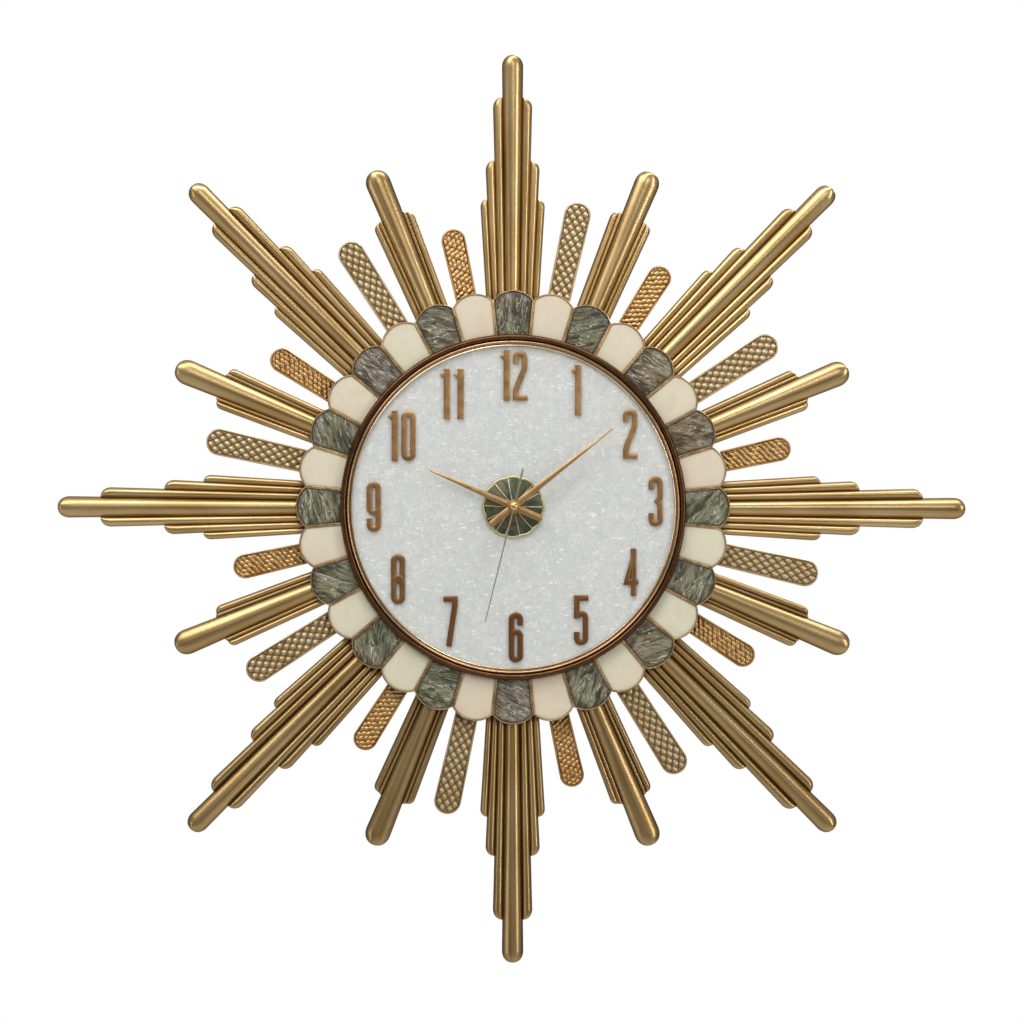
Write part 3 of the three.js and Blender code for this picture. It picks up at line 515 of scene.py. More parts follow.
# Each metal's light and deep colour and its roughness.
METALS = {
    "cloison_brass": ((0.84, 0.66, 0.42), (0.26, 0.16, 0.075), 0.26),
    # One bronze in lit and shaded tones: painted shade on the moulding, a painted highlight on the lip.
    "bezel_shaded_bronze": ((0.13, 0.062, 0.027), (0.07, 0.030, 0.012), 0.24),
    "bezel_copper": ((0.42, 0.265, 0.145), (0.30, 0.17, 0.085), 0.26),
    "bezel_lip": ((0.90, 0.76, 0.56), (0.70, 0.52, 0.34), 0.2),
    "figure_brass": ((0.58, 0.36, 0.17), (0.22, 0.105, 0.045), 0.32),
    "hand_brass": ((0.50, 0.315, 0.145), (0.31, 0.175, 0.075), 0.36),
    "olive_brass": ((0.34, 0.31, 0.20), (0.24, 0.21, 0.13), 0.34),
    "yellow_brass": ((0.64, 0.62, 0.32), (0.44, 0.42, 0.18), 0.34),
    "ball_brass": ((0.78, 0.55, 0.24), (0.60, 0.38, 0.14), 0.2),
    "line_metal": ((0.72, 0.66, 0.46), (0.50, 0.44, 0.28), 0.4),
}
for metal, tones in METALS.items():
    polished_metal(metal, *tones)
ivory_enamel()
dark_shell()
pearl_dial()
green_enamel()
surface("black_paint", Nodes.grain, (0.014, 0.014, 0.014), (0.024, 0.024, 0.023), 0.5)
surface("black_moulded", Nodes.grain, (0.018, 0.018, 0.019), (0.027, 0.027, 0.029), 0.45)
surface("zinc_plated", Nodes.grain, (0.55, 0.56, 0.58), (0.66, 0.67, 0.68), 0.3, 1.0)


# ---- Fluted rays
SLAB = 1.6
UNDERCUT = 0.5
FOOT_REF = 170.7
# Flutes from the middle outwards: half widths at the base reference and at the flute's own end, which
# lies at a share of the tip's radius, and the rise of the arch over the slab.
LONG_FLUTES = (
    (6.0, 8.0, 0.972, 4.4),
    (11.4, 15.0, 0.906, 3.0),
    (16.3, 20.7, 0.766, 2.6),
    (20.8, 24.6, 0.68, 2.2),
)
MEDIUM_FLUTES = (
    (7.0, 9.4, 0.96, 4.4),
    (9.4, 11.6, 0.866, 1.6),
    (13.9, 16.4, 0.861, 2.8),
)
ARCH_STEPS = 16
END_STEPS = 12
LENGTH_STEPS = 6
# Painted shade on the rays' undersides, which face the wall.
UNDERSIDE_PAINTED_SHADE = 0.5


def edge_at(flute, tip, y):
    base, end, share, _ = flute
    return base + (end - base) * (y - FOOT_REF) / (share * tip - FOOT_REF)


def flute_ring(x0, x1, y, arch):
    """A flute's section at radius y, and each point's tarnish and painted shade, most in the valleys and
    beneath.
    """
    middle = (x0 + x1) / 2
    half = (x1 - x0) / 2
    ring = [(x0, y, RAY_BACK)]
    shade = [UNDERSIDE_PAINTED_SHADE]
    for i in range(ARCH_STEPS + 1):
        a = math.pi * (1 - i / ARCH_STEPS)
        u = math.cos(a)
        lift = 1 - abs(u) ** 2.3
        ring.append((middle + half * u, y, RAY_BACK + SLAB + arch * lift))
        # Darker towards the valleys: tarnish and painted shade between the flutes.
        shade.append(0.9 * max(0.0, 1 - 1.9 * lift) ** 1.2)
    ring.append((x1, y, RAY_BACK))
    shade.append(UNDERSIDE_PAINTED_SHADE)
    return ring, shade


def flute(inner, outer, tip, side):
    """One flute of a ray. The middle one, with no inner neighbour, is symmetrical and has a domed tip."""
    share, arch = outer[2], outer[3]
    end = tip if inner is None else share * tip
    rings, shades = [], []

    def add(y, width_share, height):
        x1 = edge_at(outer, tip, y)
        if inner is None:
            x0, x1 = -x1 * width_share, x1 * width_share
        else:
            x0 = edge_at(inner, tip, y) - UNDERCUT
            x1 = x0 + (x1 - x0) * width_share
        ring, shade = flute_ring(x0, x1, y, height)
        rings.append(ring if side > 0 else [(-x, py, z) for x, py, z in ring])
        shades.extend(shade)

    width = outer[1] if inner is None else edge_at(outer, tip, end) - edge_at(inner, tip, end)
    reach = width * 1.15
    straight = end - reach
    for i in range(LENGTH_STEPS):
        add(RAY_FOOT + (straight - RAY_FOOT) * i / LENGTH_STEPS, 1.0, arch)
    for i in range(END_STEPS + 1):
        a = 0.985 * (math.pi / 2) * i / END_STEPS
        add(straight + reach * math.sin(a), math.cos(a) ** 0.92, arch * math.cos(a) ** 0.6)
    return loft(rings, shade=shades)


def fluted_ray(flutes, tip):
    shape = flute(None, flutes[0], tip, 1)
    for inner, outer in zip(flutes, flutes[1:]):
        for side in (1, -1):
            shape.join(flute(inner, outer, tip, side))
    return shape


# ---- Textured rays
RIM_WIDTH = 1.3
TEXTURED_LONG = (8.9, 10.05, 236.0)
TEXTURED_SHORT = (8.2, 9.1, 215.0)
TEXTURE_STEP = 0.45
RELIEF = 0.7
TIP_ROWS = 26


def lozenges(x, y):
    """Height share of the long bars' pillow shaped bumps, between two sets of slanting grooves."""
    gap_across, gap_along = 6.0, 8.0
    slant = x / gap_across
    rise = y / gap_along
    heights = []
    for lane in (slant + rise, slant - rise):
        away = abs(lane - round(lane)) * 2
        heights.append(max(0.0, min(1.0, away * 1.25 - 0.12)) ** 0.7)
    return heights[0] * heights[1]


def grains(x, y):
    """Height share of the short bars' slanting grains, in uneven columns."""
    column_gap, period, long_half, short_half = 3.1, 4.2, 2.3, 1.35
    best = 0.0
    nearest = round(x / column_gap)
    for column in (nearest - 1, nearest, nearest + 1):
        shift = period / 2 if column % 2 else 0.0
        row = round((y - shift) / period)
        uneven = math.sin(12.9 * column + 7.8 * row)
        slant = math.radians(42) + 0.35 * uneven
        dx = x - column * column_gap - 0.25 * uneven
        dy = y - shift - row * period - 0.4 * math.sin(5.1 * column + 3.3 * row)
        along = (dx * math.sin(slant) + dy * math.cos(slant)) / long_half
        across = (dx * math.cos(slant) - dy * math.sin(slant)) / short_half
        best = max(best, 1 - along ** 2 - across ** 2)
    return best ** 0.6


def textured_ray(base, end, tip, bumps):
    """A flat bar with a round end, a smooth raised rim and a field of bumps."""
    centre = tip - end
    field = TEXTURED_TOP - 1.1
    across = int(2 * end / TEXTURE_STEP)
    rings, shades = [], []
    straight_rows = int((centre - RAY_FOOT) / TEXTURE_STEP)
    stations = [RAY_FOOT + (centre - RAY_FOOT) * i / straight_rows for i in range(straight_rows)]
    stations += [centre + end * math.sin(0.995 * math.pi / 2 * i / TIP_ROWS) for i in range(TIP_ROWS + 1)]
    for y in stations:
        half = base + (end - base) * (y - FOOT_REF) / (centre - FOOT_REF)
        if y > centre:
            half = math.sqrt(max(end ** 2 - (y - centre) ** 2, 0.01))
        ring = [(-half, y, RAY_BACK)]
        shade = [UNDERSIDE_PAINTED_SHADE]
        for i in range(across + 1):
            x = half * (2 * i / across - 1)
            inset = half - abs(x) if y <= centre else end - math.hypot(x, y - centre)
            on_rim = inset < RIM_WIDTH
            rise = bumps(x, y) * min(1.0, max(0.0, (inset - RIM_WIDTH) / 0.7))
            fall = 0.35 * max(0.0, 1 - inset / 0.35) ** 2
            ring.append((x, y, TEXTURED_TOP - fall if on_rim else field + RELIEF * rise))
            # Discolouring and painted shade between the bumps, and a little on the rim.
            shade.append(0.1 if on_rim else (1 - rise) ** 1.3)
        ring.append((half, y, RAY_BACK))
        shade.append(UNDERSIDE_PAINTED_SHADE)
        rings.append(ring)
        shades.extend(shade)
    return loft(rings, shade=shades)


RAY_GROUPS = 8
MEDIUM_TURN = TURN / RAY_GROUPS / 2
TEXTURED_OFFSET = math.radians(10)
# Where a group's long fluted, long textured, medium fluted and short textured rays stand.
RAY_TURNS = (0.0, MEDIUM_TURN - TEXTURED_OFFSET, MEDIUM_TURN, MEDIUM_TURN + TEXTURED_OFFSET)
# Painted shade: how much darker the rays at the bottom of the clock are than those at the top.
LOWER_PAINTED_SHADE = 0.32


def make_rays():
    """Every group's four rays, whose brass is darker towards the bottom of the clock as painted shade."""
    kinds = (
        ("fluted_ray_long_", fluted_ray(LONG_FLUTES, LONG_TIP), "fluted_brass"),
        ("textured_ray_long_", textured_ray(*TEXTURED_LONG, lozenges), "embossed_pale_brass"),
        ("fluted_ray_medium_", fluted_ray(MEDIUM_FLUTES, MEDIUM_TIP), "fluted_brass"),
        ("textured_ray_short_", textured_ray(*TEXTURED_SHORT, grains), "embossed_copper_brass"),
    )
    for k in range(RAY_GROUPS):
        for (name, shape, look), turn in zip(kinds, RAY_TURNS):
            node = f"{name}{k + 1:02d}"
            at = TURN * k / RAY_GROUPS + turn
            # Painted shade, none at the top of the clock and the most at the bottom.
            painted_shade = LOWER_PAINTED_SHADE * (0.5 - 0.5 * math.cos(at))
            piece(node + "_cast", shape, look, node, angle=at, seed=k + turn, painted_shade=painted_shade)


# ---- Petals
PETAL_INNER = 127.4
PLATE_BORE_R = 5.0
TILE_MIDDLE = 147.0
WIRE = 1.0
WIRE_GAP = 0.08
TILE_GAP = 0.16


def petal_outline(inset, inner, steps=28):
    """A petal's edge from its left inner corner over its round end to its right inner corner."""
    half_chord = PETAL_NOTCH * math.sin(PETAL_HALF)
    rise = PETAL_TIP - PETAL_NOTCH * math.cos(PETAL_HALF)
    bend = (half_chord ** 2 + rise ** 2) / (2 * rise)
    sweep = math.asin((half_chord - inset) / (bend - inset))
    inner_half = inner * math.tan(PETAL_HALF) - inset
    points = [(-inner_half, inner)]
    for i in range(steps + 1):
        a = sweep * (2 * i / steps - 1)
        points.append(((bend - inset) * math.sin(a), PETAL_TIP - bend + (bend - inset) * math.cos(a)))
    points.append((inner_half, inner))
    return points


def petal_wire():
    """The raised wire round one petal, with a rounded top."""
    outer = petal_outline(WIRE_GAP, PETAL_INNER)
    inner = petal_outline(WIRE_GAP + WIRE, PETAL_INNER)
    profile = (
        (0.0, 0.0), (0.0, 0.8), (0.14, 0.93), (0.34, 1.0),
        (0.66, 1.0), (0.86, 0.93), (1.0, 0.8), (1.0, 0.0),
    )
    height = TRAY_TOP - TRAY_FLOOR
    rings, shades = [], []
    for (ox, oy), (ix, iy) in zip(outer, inner):
        rings.append([
            (ox + (ix - ox) * t, oy + (iy - oy) * t, TRAY_FLOOR + height * h) for t, h in profile
        ])
        # Each wire's foot takes the full shade value: painted shade where it meets the tray's floor.
        shades.extend([0.0 if h else 1.0 for _, h in profile])
    return loft(rings, shade=shades)


def petal_plate():
    """The tray's floor under the petals, with the same scalloped edge, and its bore behind the dial."""
    rim = []
    for k in range(PETALS):
        for x, y in petal_outline(0.0, PETAL_INNER, steps=24)[1:-2]:
            rim.append(turn_point((x, y, 0), k * 2 * PETAL_HALF))
    bore = [turn_point((0, PLATE_BORE_R, 0), math.atan2(x, y)) for x, y, _ in rim]
    levels = ((rim, TRAY_BACK), (rim, TRAY_FLOOR + 1.6), (bore, TRAY_FLOOR), (bore, TRAY_BACK))
    rings = [[(x, y, z) for x, y, _ in loop] for loop, z in levels]
    # The whole plate takes the full shade value: painted shade in the gaps between the tiles and wires.
    return loft(rings, looped=True, shade=[1.0] * (len(levels) * len(rim)))


def petal_tile():
    """One inlaid tile: a gently pillowed face, with painted shade along its eased edge."""
    outline = petal_outline(WIRE_GAP + WIRE + TILE_GAP, PETAL_INNER + 1.0)
    # Each level's size, height under the tile's top, and share of painted shade
    levels = (
        (1.0, TILE_TOP - TILE_BACK, 1.0), (1.0, 0.55, 1.0), (0.985, 0.32, 0.9), (0.95, 0.2, 0.5),
        (0.85, 0.1, 0.12), (0.6, 0.03, 0.0), (0.3, 0.0, 0.0), (0.08, 0.0, 0.0),
    )
    rings = [
        [(x * size, TILE_MIDDLE + (y - TILE_MIDDLE) * size, TILE_TOP - drop) for x, y in outline]
        for size, drop, _ in levels
    ]
    return loft(rings, shade=[painted_edge_shade for _, _, painted_edge_shade in levels for _ in outline])


def make_petals():
    tray = petal_plate()
    wire = petal_wire()
    for k in range(PETALS):
        tray.join(turned(wire, k * 2 * PETAL_HALF))
    piece("petal_tray_cloisons", tray, "cloison_brass", "petal_tray")
    tile = petal_tile()
    kinds = (("shell", "dark_shell"), ("ivory", "ivory_enamel"))
    for k in range(PETALS):
        kind, look = kinds[k % 2]
        piece(
            f"petal_{kind}_{k + 1:02d}", tile, look, kind + "_inlays",
            angle=k * 2 * PETAL_HALF, seed=k * 1.7, twist=2.4 * math.sin(3.7 * k),
        )


# ---- Bezel and dial
BEZEL_STEPS = 256
MOULDING_STEPS = 15
MOULDING_FOOT = 1.7
DIAL_BORE_R = 4.6


def make_bezel():
    """Three turned pieces: the round outer moulding, the slope in to the dial, and its bright lip."""
    foot = BEZEL_LOW
    moulding_r, slope_r, lip_r = BEZEL_R - 4.6, BEZEL_R - 5.5, BEZEL_INNER_R + 1.4
    middle = (BEZEL_R + moulding_r) / 2
    half = (BEZEL_R - moulding_r) / 2
    rise = BEZEL_TOP - foot - MOULDING_FOOT
    moulding = [(moulding_r, foot), (BEZEL_R, foot), (BEZEL_R, foot + MOULDING_FOOT)]
    for i in range(1, MOULDING_STEPS):
        a = math.pi * i / MOULDING_STEPS
        moulding.append((middle + half * math.cos(a), foot + MOULDING_FOOT + rise * math.sin(a) ** 0.8))
    moulding.append((moulding_r, foot + 2.2))
    slope = [
        (lip_r, foot),
        *offsets(slope_r, foot, (0.5, 0), (0.5, 2.6), (0.2, 3.5), (-0.2, 3.7), (-0.7, 3.5), (-1.5, 2.5)),
        (lip_r, foot + 1.8),
    ]
    lip = [
        (BEZEL_INNER_R, foot),
        *offsets(lip_r, foot, (-0.1, 0), (-0.1, 1.6), (-0.3, 2.1), (-0.7, 2.3)),
        *offsets(BEZEL_INNER_R, foot, (0.3, 2.0), (0, 1.4)),
    ]
    # One bronze in three tones: painted shade on the moulding, a painted highlight on the lip.
    parts = (
        ("moulding", moulding, "bezel_shaded_bronze"),
        ("slope", slope, "bezel_copper"),
        ("lip", lip, "bezel_lip"),
    )
    for i, (name, profile, look) in enumerate(parts):
        piece("bezel_" + name, lathe(profile, BEZEL_STEPS), look, "bezel", seed=3 * i)


def make_dial():
    profile = [(DIAL_BORE_R, DIAL_BACK), (DIAL_R, DIAL_BACK), (DIAL_R, DIAL_FRONT - 0.2)]
    profile += [(r, DIAL_FRONT) for r in (DIAL_R - 0.2, 100.0, 70.0, 40.0, 20.0, DIAL_BORE_R)]
    piece("dial_pearl", lathe(profile), "pearl_dial", "dial_disc")


# ---- Figures
FIGURE_HEIGHT = 37.8
FIGURE_WIDTH = 11.0
STROKE = 4.35
STEM = 4.9
HALF_W = (FIGURE_WIDTH - STROKE) / 2
HALF_H = (FIGURE_HEIGHT - STROKE) / 2
BOW = HALF_H - HALF_W
CAP = STROKE / 2
HOOK = 4.5
BAR_Y = -HALF_H * 0.5

TOP_BOW = arc(0, BOW, HALF_W, 180, 0, 14)
BOTTOM_BOW = arc(0, -BOW, HALF_W, 0, -180, 14)


def stadium(low, high):
    return arc(0, high - HALF_W, HALF_W, 0, 180, 14) + arc(0, low + HALF_W, HALF_W, 180, 360, 14)[:-1]


# Each figure's bars: (closed, width, centreline).
FIGURES = {
    "0": [(True, STROKE, stadium(-HALF_H, HALF_H))],
    "1": [
        (False, STEM, [(0.3, -HALF_H - CAP), (0.3, HALF_H + CAP)]),
        (False, STROKE, [(-3.7, BOW - 0.2), (0.3, BOW + 2.8)]),
    ],
    "2": [
        (False, STROKE, [(-HALF_W, BOW - HOOK), *TOP_BOW, (HALF_W, 6.4), (HALF_W - 0.5, 4.2),
                         (0.5 - HALF_W, 7 - HALF_H), (-HALF_W, 4.6 - HALF_H), (-HALF_W, -HALF_H),
                         (HALF_W + CAP, -HALF_H)]),
    ],
    "3": [
        (False, STROKE, [(-HALF_W, BOW - HOOK), *TOP_BOW, (HALF_W, 3.4), (HALF_W - 0.5, 1.7),
                         (HALF_W - 1.8, 0), (HALF_W - 0.5, -1.7), (HALF_W, -3.4), *BOTTOM_BOW,
                         (-HALF_W, HOOK - BOW)]),
    ],
    "4": [
        (True, STROKE, [(2, HALF_H), (-HALF_W, BAR_Y), (2, BAR_Y)]),
        (False, STROKE, [(2, HALF_H), (2, -HALF_H - CAP)]),
        (False, STROKE, [(0, BAR_Y), (HALF_W + CAP, BAR_Y)]),
    ],
    "5": [
        (False, STROKE, [(HALF_W + CAP, HALF_H), (-HALF_W, HALF_H), (-HALF_W, 1.2)]),
        (False, STROKE, [*arc(0, 1.6, HALF_W, 170, 0, 12), *BOTTOM_BOW, (-HALF_W, HOOK - BOW)]),
    ],
    "6": [
        (True, STROKE, stadium(-HALF_H, 4.2)),
        (False, STROKE, [(-HALF_W, 0), *TOP_BOW, (HALF_W, BOW - HOOK)]),
    ],
    "7": [
        (False, STROKE, [(-HALF_W - CAP, HALF_H), (HALF_W, HALF_H), (HALF_W, HALF_H - 4),
                         (-1.4, -HALF_H - CAP)]),
    ],
    "8": [(True, STROKE, stadium(-HALF_H, 1.5)), (True, STROKE, stadium(-1.3, HALF_H))],
    "9": [
        (True, STROKE, stadium(-4.2, HALF_H)),
        (False, STROKE, [(HALF_W, 0), *BOTTOM_BOW, (-HALF_W, HOOK - BOW)]),
    ],
}
# A bar's section from its left foot to its right one: shares of its half width and of its rise.
BAR_SECTION = ((-1, 0), (-1, 0.68), (-0.92, 0.86), (-0.78, 0.97), (-0.66, 1), (0.66, 1), (0.78, 0.97),
               (0.92, 0.86), (1, 0.68), (1, 0))
# The bevel at a bar's ends, the shares of its width and height there, and the gap between distinct points.
BEVEL = 0.35
END_SHARES = (0.9, 0.78)
SAME_POINT = 0.02


def unit(a, b):
    length = math.dist(a, b)
    return ((b[0] - a[0]) / length, (b[1] - a[1]) / length)


def distinct(points):
    """The points without those that repeat the one before."""
    kept = [points[0]]
    for point in points[1:]:
        if math.dist(point, kept[-1]) > SAME_POINT:
            kept.append(point)
    return kept


def bar(centreline, closed, half, rise, shade):
    """A bevelled bar along a centreline, standing on the dial, mitred at bends, with square ends."""
    points = distinct(centreline)
    if closed and math.dist(points[0], points[-1]) < SAME_POINT:
        points.pop()
    count = len(points)
    rings = []

    def ring(centre, normal, wide=1.0, tall=1.0):
        rings.append([
            (centre[0] + normal[0] * half * wide * u, centre[1] + normal[1] * half * wide * u,
             DIAL_FRONT + rise * tall * v)
            for u, v in BAR_SECTION
        ])

    for i, point in enumerate(points):
        before = points[i - 1] if closed or i > 0 else None
        after = points[(i + 1) % count] if closed or i < count - 1 else None
        arriving = unit(before, point) if before else unit(point, after)
        leaving = unit(point, after) if after else arriving
        normal = (-(arriving[1] + leaving[1]), arriving[0] + leaving[0])
        scale = 2 / max(normal[0] ** 2 + normal[1] ** 2, 1.0)
        normal = (normal[0] * scale, normal[1] * scale)
        if before is None:
            ring(point, normal, *END_SHARES)
            ring((point[0] + leaving[0] * BEVEL, point[1] + leaving[1] * BEVEL), normal)
        elif after is None:
            ring((point[0] - arriving[0] * BEVEL, point[1] - arriving[1] * BEVEL), normal)
            ring(point, normal, *END_SHARES)
        else:
            ring(point, normal)
    return loft(rings, looped=closed, shade=[shade] * (len(rings) * len(BAR_SECTION)))


def figure(digit, shade):
    shape = Shape()
    for i, (closed, width, centreline) in enumerate(FIGURES[digit]):
        shape.join(bar(centreline, closed, width / 2, FIGURE_RISE - 0.04 * i, shade))
    return shape


DIGIT_PITCH = {10: 10.6, 11: 10.4, 12: 10.4}
NUMERAL_TOP_R = 98.0
NUMERAL_SIDE_R = 106.8
# The figures are set one by one: how far each one from 1 to 12 is off its place, to the right and up.
NUMERAL_SET = (
    (-0.5, 3), (0, 4.5), (0.5, 4.5), (0.5, 3), (2, 0), (2, 0),
    (2, -1), (1.5, -3.5), (2, 0), (4, 2.5), (4, 0), (0, 1),
)


def make_figures():
    """Upright figures, whose brass is darker towards the bottom of the dial as painted shade."""
    for hour in range(1, 13):
        a = TURN * hour / 12
        r = NUMERAL_TOP_R + (NUMERAL_SIDE_R - NUMERAL_TOP_R) * math.sin(a) ** 6
        digits = str(hour)
        # Painted shade, most on the figures at the bottom of the dial.
        shade = (0.5 - 0.5 * math.cos(a)) ** 1.4
        right, up = NUMERAL_SET[hour - 1]
        for i, digit in enumerate(digits):
            offset = (i - (len(digits) - 1) / 2) * DIGIT_PITCH.get(hour, 0)
            piece(
                f"figure_{hour:02d}_{i + 1}", figure(digit, shade), "figure_brass", "dial_disc",
                seed=hour + i * 0.3,
                shift=(r * math.sin(a) + right + offset, r * math.cos(a) + up, 0),
            )


# ---- Rosette
LOBES = 12
SPOKES = 14
RIM_HALF = 0.95


def scallop(a):
    return 1 - 0.035 * (1 - abs(math.cos(LOBES * a / 2)))


def rosette_height(r):
    """Height of the dished medallion's face at a radius."""
    share = min(1.0, r / ROSETTE_R)
    return ROSETTE_LOW + 0.9 + (ROSETTE_TOP - ROSETTE_LOW - 0.9) * (1 - share ** 1.7)


def make_rosette():
    inner, rim = 3.6, ROSETTE_R - RIM_HALF
    radii = [inner + (rim - inner) * i / 12 for i in range(13)]
    face = [(r, rosette_height(r) - 0.25) for r in radii]
    under = [(rim, ROSETTE_LOW), (rim - 1.4, ROSETTE_LOW + 0.1)]
    under += [(r, rosette_height(r) - 1.3) for r in (18, 12, 7, inner)]
    enamel = lathe(face + under, 144, lobe=scallop)
    piece("rosette_enamel", enamel, "green_enamel", "rosette")
    edge = rosette_height(rim) - 0.35
    turns = [TURN * i / 12 for i in range(12)]
    ring = [(rim + RIM_HALF * math.cos(a), edge + 0.6 * math.sin(a)) for a in turns]
    bead = lathe(ring, 144, lobe=scallop)
    piece("rosette_rim", bead, "yellow_brass", "rosette")
    lines = Shape()
    for k in range(SPOKES):
        rings = []
        for i in range(13):
            r = 4.0 + (rim - 1.2 - 4.0) * i / 12
            half = 0.26 + 0.12 * i / 12
            top = rosette_height(r) + 0.1
            section = ((-1, -0.6), (-0.9, -0.15), (-0.45, 0.0), (0.45, 0.0), (0.9, -0.15), (1, -0.6))
            bend = 1.3 * math.sin(2.1 * k) * (i / 12) ** 2
            rings.append([(half * u + bend, r, top + v) for u, v in section])
        lines.join(turned(loft(rings), TURN * (k + 0.5) / SPOKES))
    piece("rosette_lines", lines, "line_metal", "rosette")


# ---- Hands
def blade(stations, low, thick):
    """A hand along +y through (y, half width) stations, with a shallow ridge down its middle."""
    ridge = 0.45
    section = ((-1, 0), (-1, ridge), (-0.82, ridge + 0.2), (0, 1), (0.82, ridge + 0.2), (1, ridge), (1, 0))
    return loft([[(half * u, y, low + thick * v) for u, v in section] for y, half in stations])


def hand_stations(tail, tail_half, root_half, length, tip_half):
    """A blunt round tail, a slight waist at the hub and a long taper to the tip."""
    stations = []
    for i in range(7):
        a = math.pi / 2 * i / 6
        stations.append((-tail + tail_half * 0.8 * (1 - math.cos(a)), max(0.12, tail_half * math.sin(a))))
    stations += [(0, root_half), (length * 0.5, (root_half + tip_half) * 0.5), (length - 1.2, tip_half)]
    stations += [(length - 0.4, tip_half * 0.7), (length, tip_half * 0.25)]
    return stations


def boss(radius, low, high, bore):
    """A turned hub with an eased upper edge."""
    profile = [(bore, low), (radius, low), (radius, high - 0.3), (radius - 0.12, high - 0.08)]
    profile += [(radius - 0.35, high), (bore, high)]
    return lathe(profile, 48)


HAND_ANGLE = {"hour": 293.4, "minute": 51.7, "second": 193.9}
# Tail, tail half width, half width at the hub, length, tip half width, hub radius, bore
HANDS = {
    "hour": (23.4, 2.6, 2.8, 69.2, 0.65, 5.4, 2.7),
    "minute": (23.0, 2.4, 2.7, 95.0, 0.55, 4.6, 1.75),
}


def make_hands():
    for seed, (name, sizes) in enumerate(HANDS.items()):
        node = name + "_hand"
        low, high = span(node)[0][2], span(node)[1][2]
        shape = blade(hand_stations(*sizes[:5]), low, high - low - 0.05)
        shape.join(boss(sizes[5], low, high, sizes[6]))
        angle = math.radians(HAND_ANGLE[name])
        piece(node + "_blade", shape, "hand_brass", node, body=name, angle=angle, seed=seed)
    low, high = span("second_hand")[0][2], span("second_hand")[1][2]
    stations = [(-29.6, 0.25), (-29.3, 0.6), (-28.4, 0.8), (-16, 0.75), (0, 0.65), (30, 0.5), (89.6, 0.28)]
    middle, ball_r, ball_low = 0.02, 2.9, low + 1.75
    collar = offsets(
        0, low, (middle, 0), (2.4, 0), (3.5, 0.9), (3.6, 1.4),
        (3.3, 1.75), (2.8, 1.9), (2.6, 1.7), (middle, 1.7),
    )
    dome = [(ball_r * x, ball_low + (high - low - 1.75) * z) for x, z in arc(0, 0, 1, 0, 82, 11)]
    ball = [(middle, low + 1.5), *dome, (middle, high)]
    parts = (
        ("needle", blade(stations, low + 0.5, 0.5), "olive_brass", math.radians(HAND_ANGLE["second"])),
        ("collar", lathe(collar, 64), "hand_brass", 0.0),
        ("ball", lathe(ball, 64), "ball_brass", 0.0),
    )
    for name, shape, look, angle in parts:
        piece("second_hand_" + name, shape, look, "second_hand", "second", angle=angle)


# ---- Back pan
HOOP_R = 114.0
PAN_SHEET = 1.6
WINDOW_HALF = 32.0
KEYHOLE = {"head_r": 5.5, "slot_half": 2.7, "head_y": 82.0, "slot_y": 94.0}
SCREW_R = 144.5


def keyhole():
    """The keyhole's outline, anticlockwise: a round head below a narrow slot."""
    head, slot = KEYHOLE["head_r"], KEYHOLE["slot_half"]
    lean = math.degrees(math.acos(slot / head))
    top = arc(0, KEYHOLE["slot_y"], slot, 0, 180, 12)
    return top + arc(0, KEYHOLE["head_y"], head, 180 - lean, 360 + lean, 36)


def screw_head(radius, low, rise):
    """A pan-head screw seen from behind: a dome below low, with a cross recess."""
    steps, levels = 48, 8
    rings = [[(radius * x, radius * y, low) for x, y in circle(1, steps=steps)]]
    for i in range(levels):
        r = radius * math.cos(math.pi / 2 * i / levels)
        ring = []
        for x, y in circle(r, steps=steps):
            in_cross = min(abs(x), abs(y)) < 0.42 and r < radius * 0.62
            recess = 0.5 if in_cross else 0.0
            ring.append((x, y, low - rise * math.sin(math.pi / 2 * i / levels) + recess))
        rings.append(ring)
    return loft(rings)


def make_back_pan():
    """The pressed plate with its window and keyhole, the spacer ring, and the screws into the rays."""
    back = PAN_FRONT - PAN_SHEET
    window = rounded_box(WINDOW_HALF, WINDOW_HALF, 3.0)
    plate = sheet(circle(PAN_R, steps=192), [window, keyhole()], back, PAN_FRONT, 0.35)
    hoop = offsets(HOOP_R, 0.0, (-2, 0.35), (-1.7, 0), (-0.3, 0), (0, 0.35))
    hoop += offsets(
        HOOP_R, back, (0, -1.2), (0.35, -0.35), (1.2, 0), (1.2, 0.3), (-3.2, 0.3), (-3.2, 0),
        (-2.35, -0.35), (-2, -1.2),
    )
    plate.join(lathe(hoop))
    piece("back_pan_pressing", plate, "black_paint", "back_pan")
    screws = Shape()
    head = screw_head(2.6, back, 1.7)
    for k in range(RAY_GROUPS):
        for turn in RAY_TURNS:
            at = TURN * k / RAY_GROUPS + turn
            screws.join(turned(head, at, turn_point((0, SCREW_R, 0), at)))
    piece("back_pan_screws", screws, "zinc_plated", "back_pan")


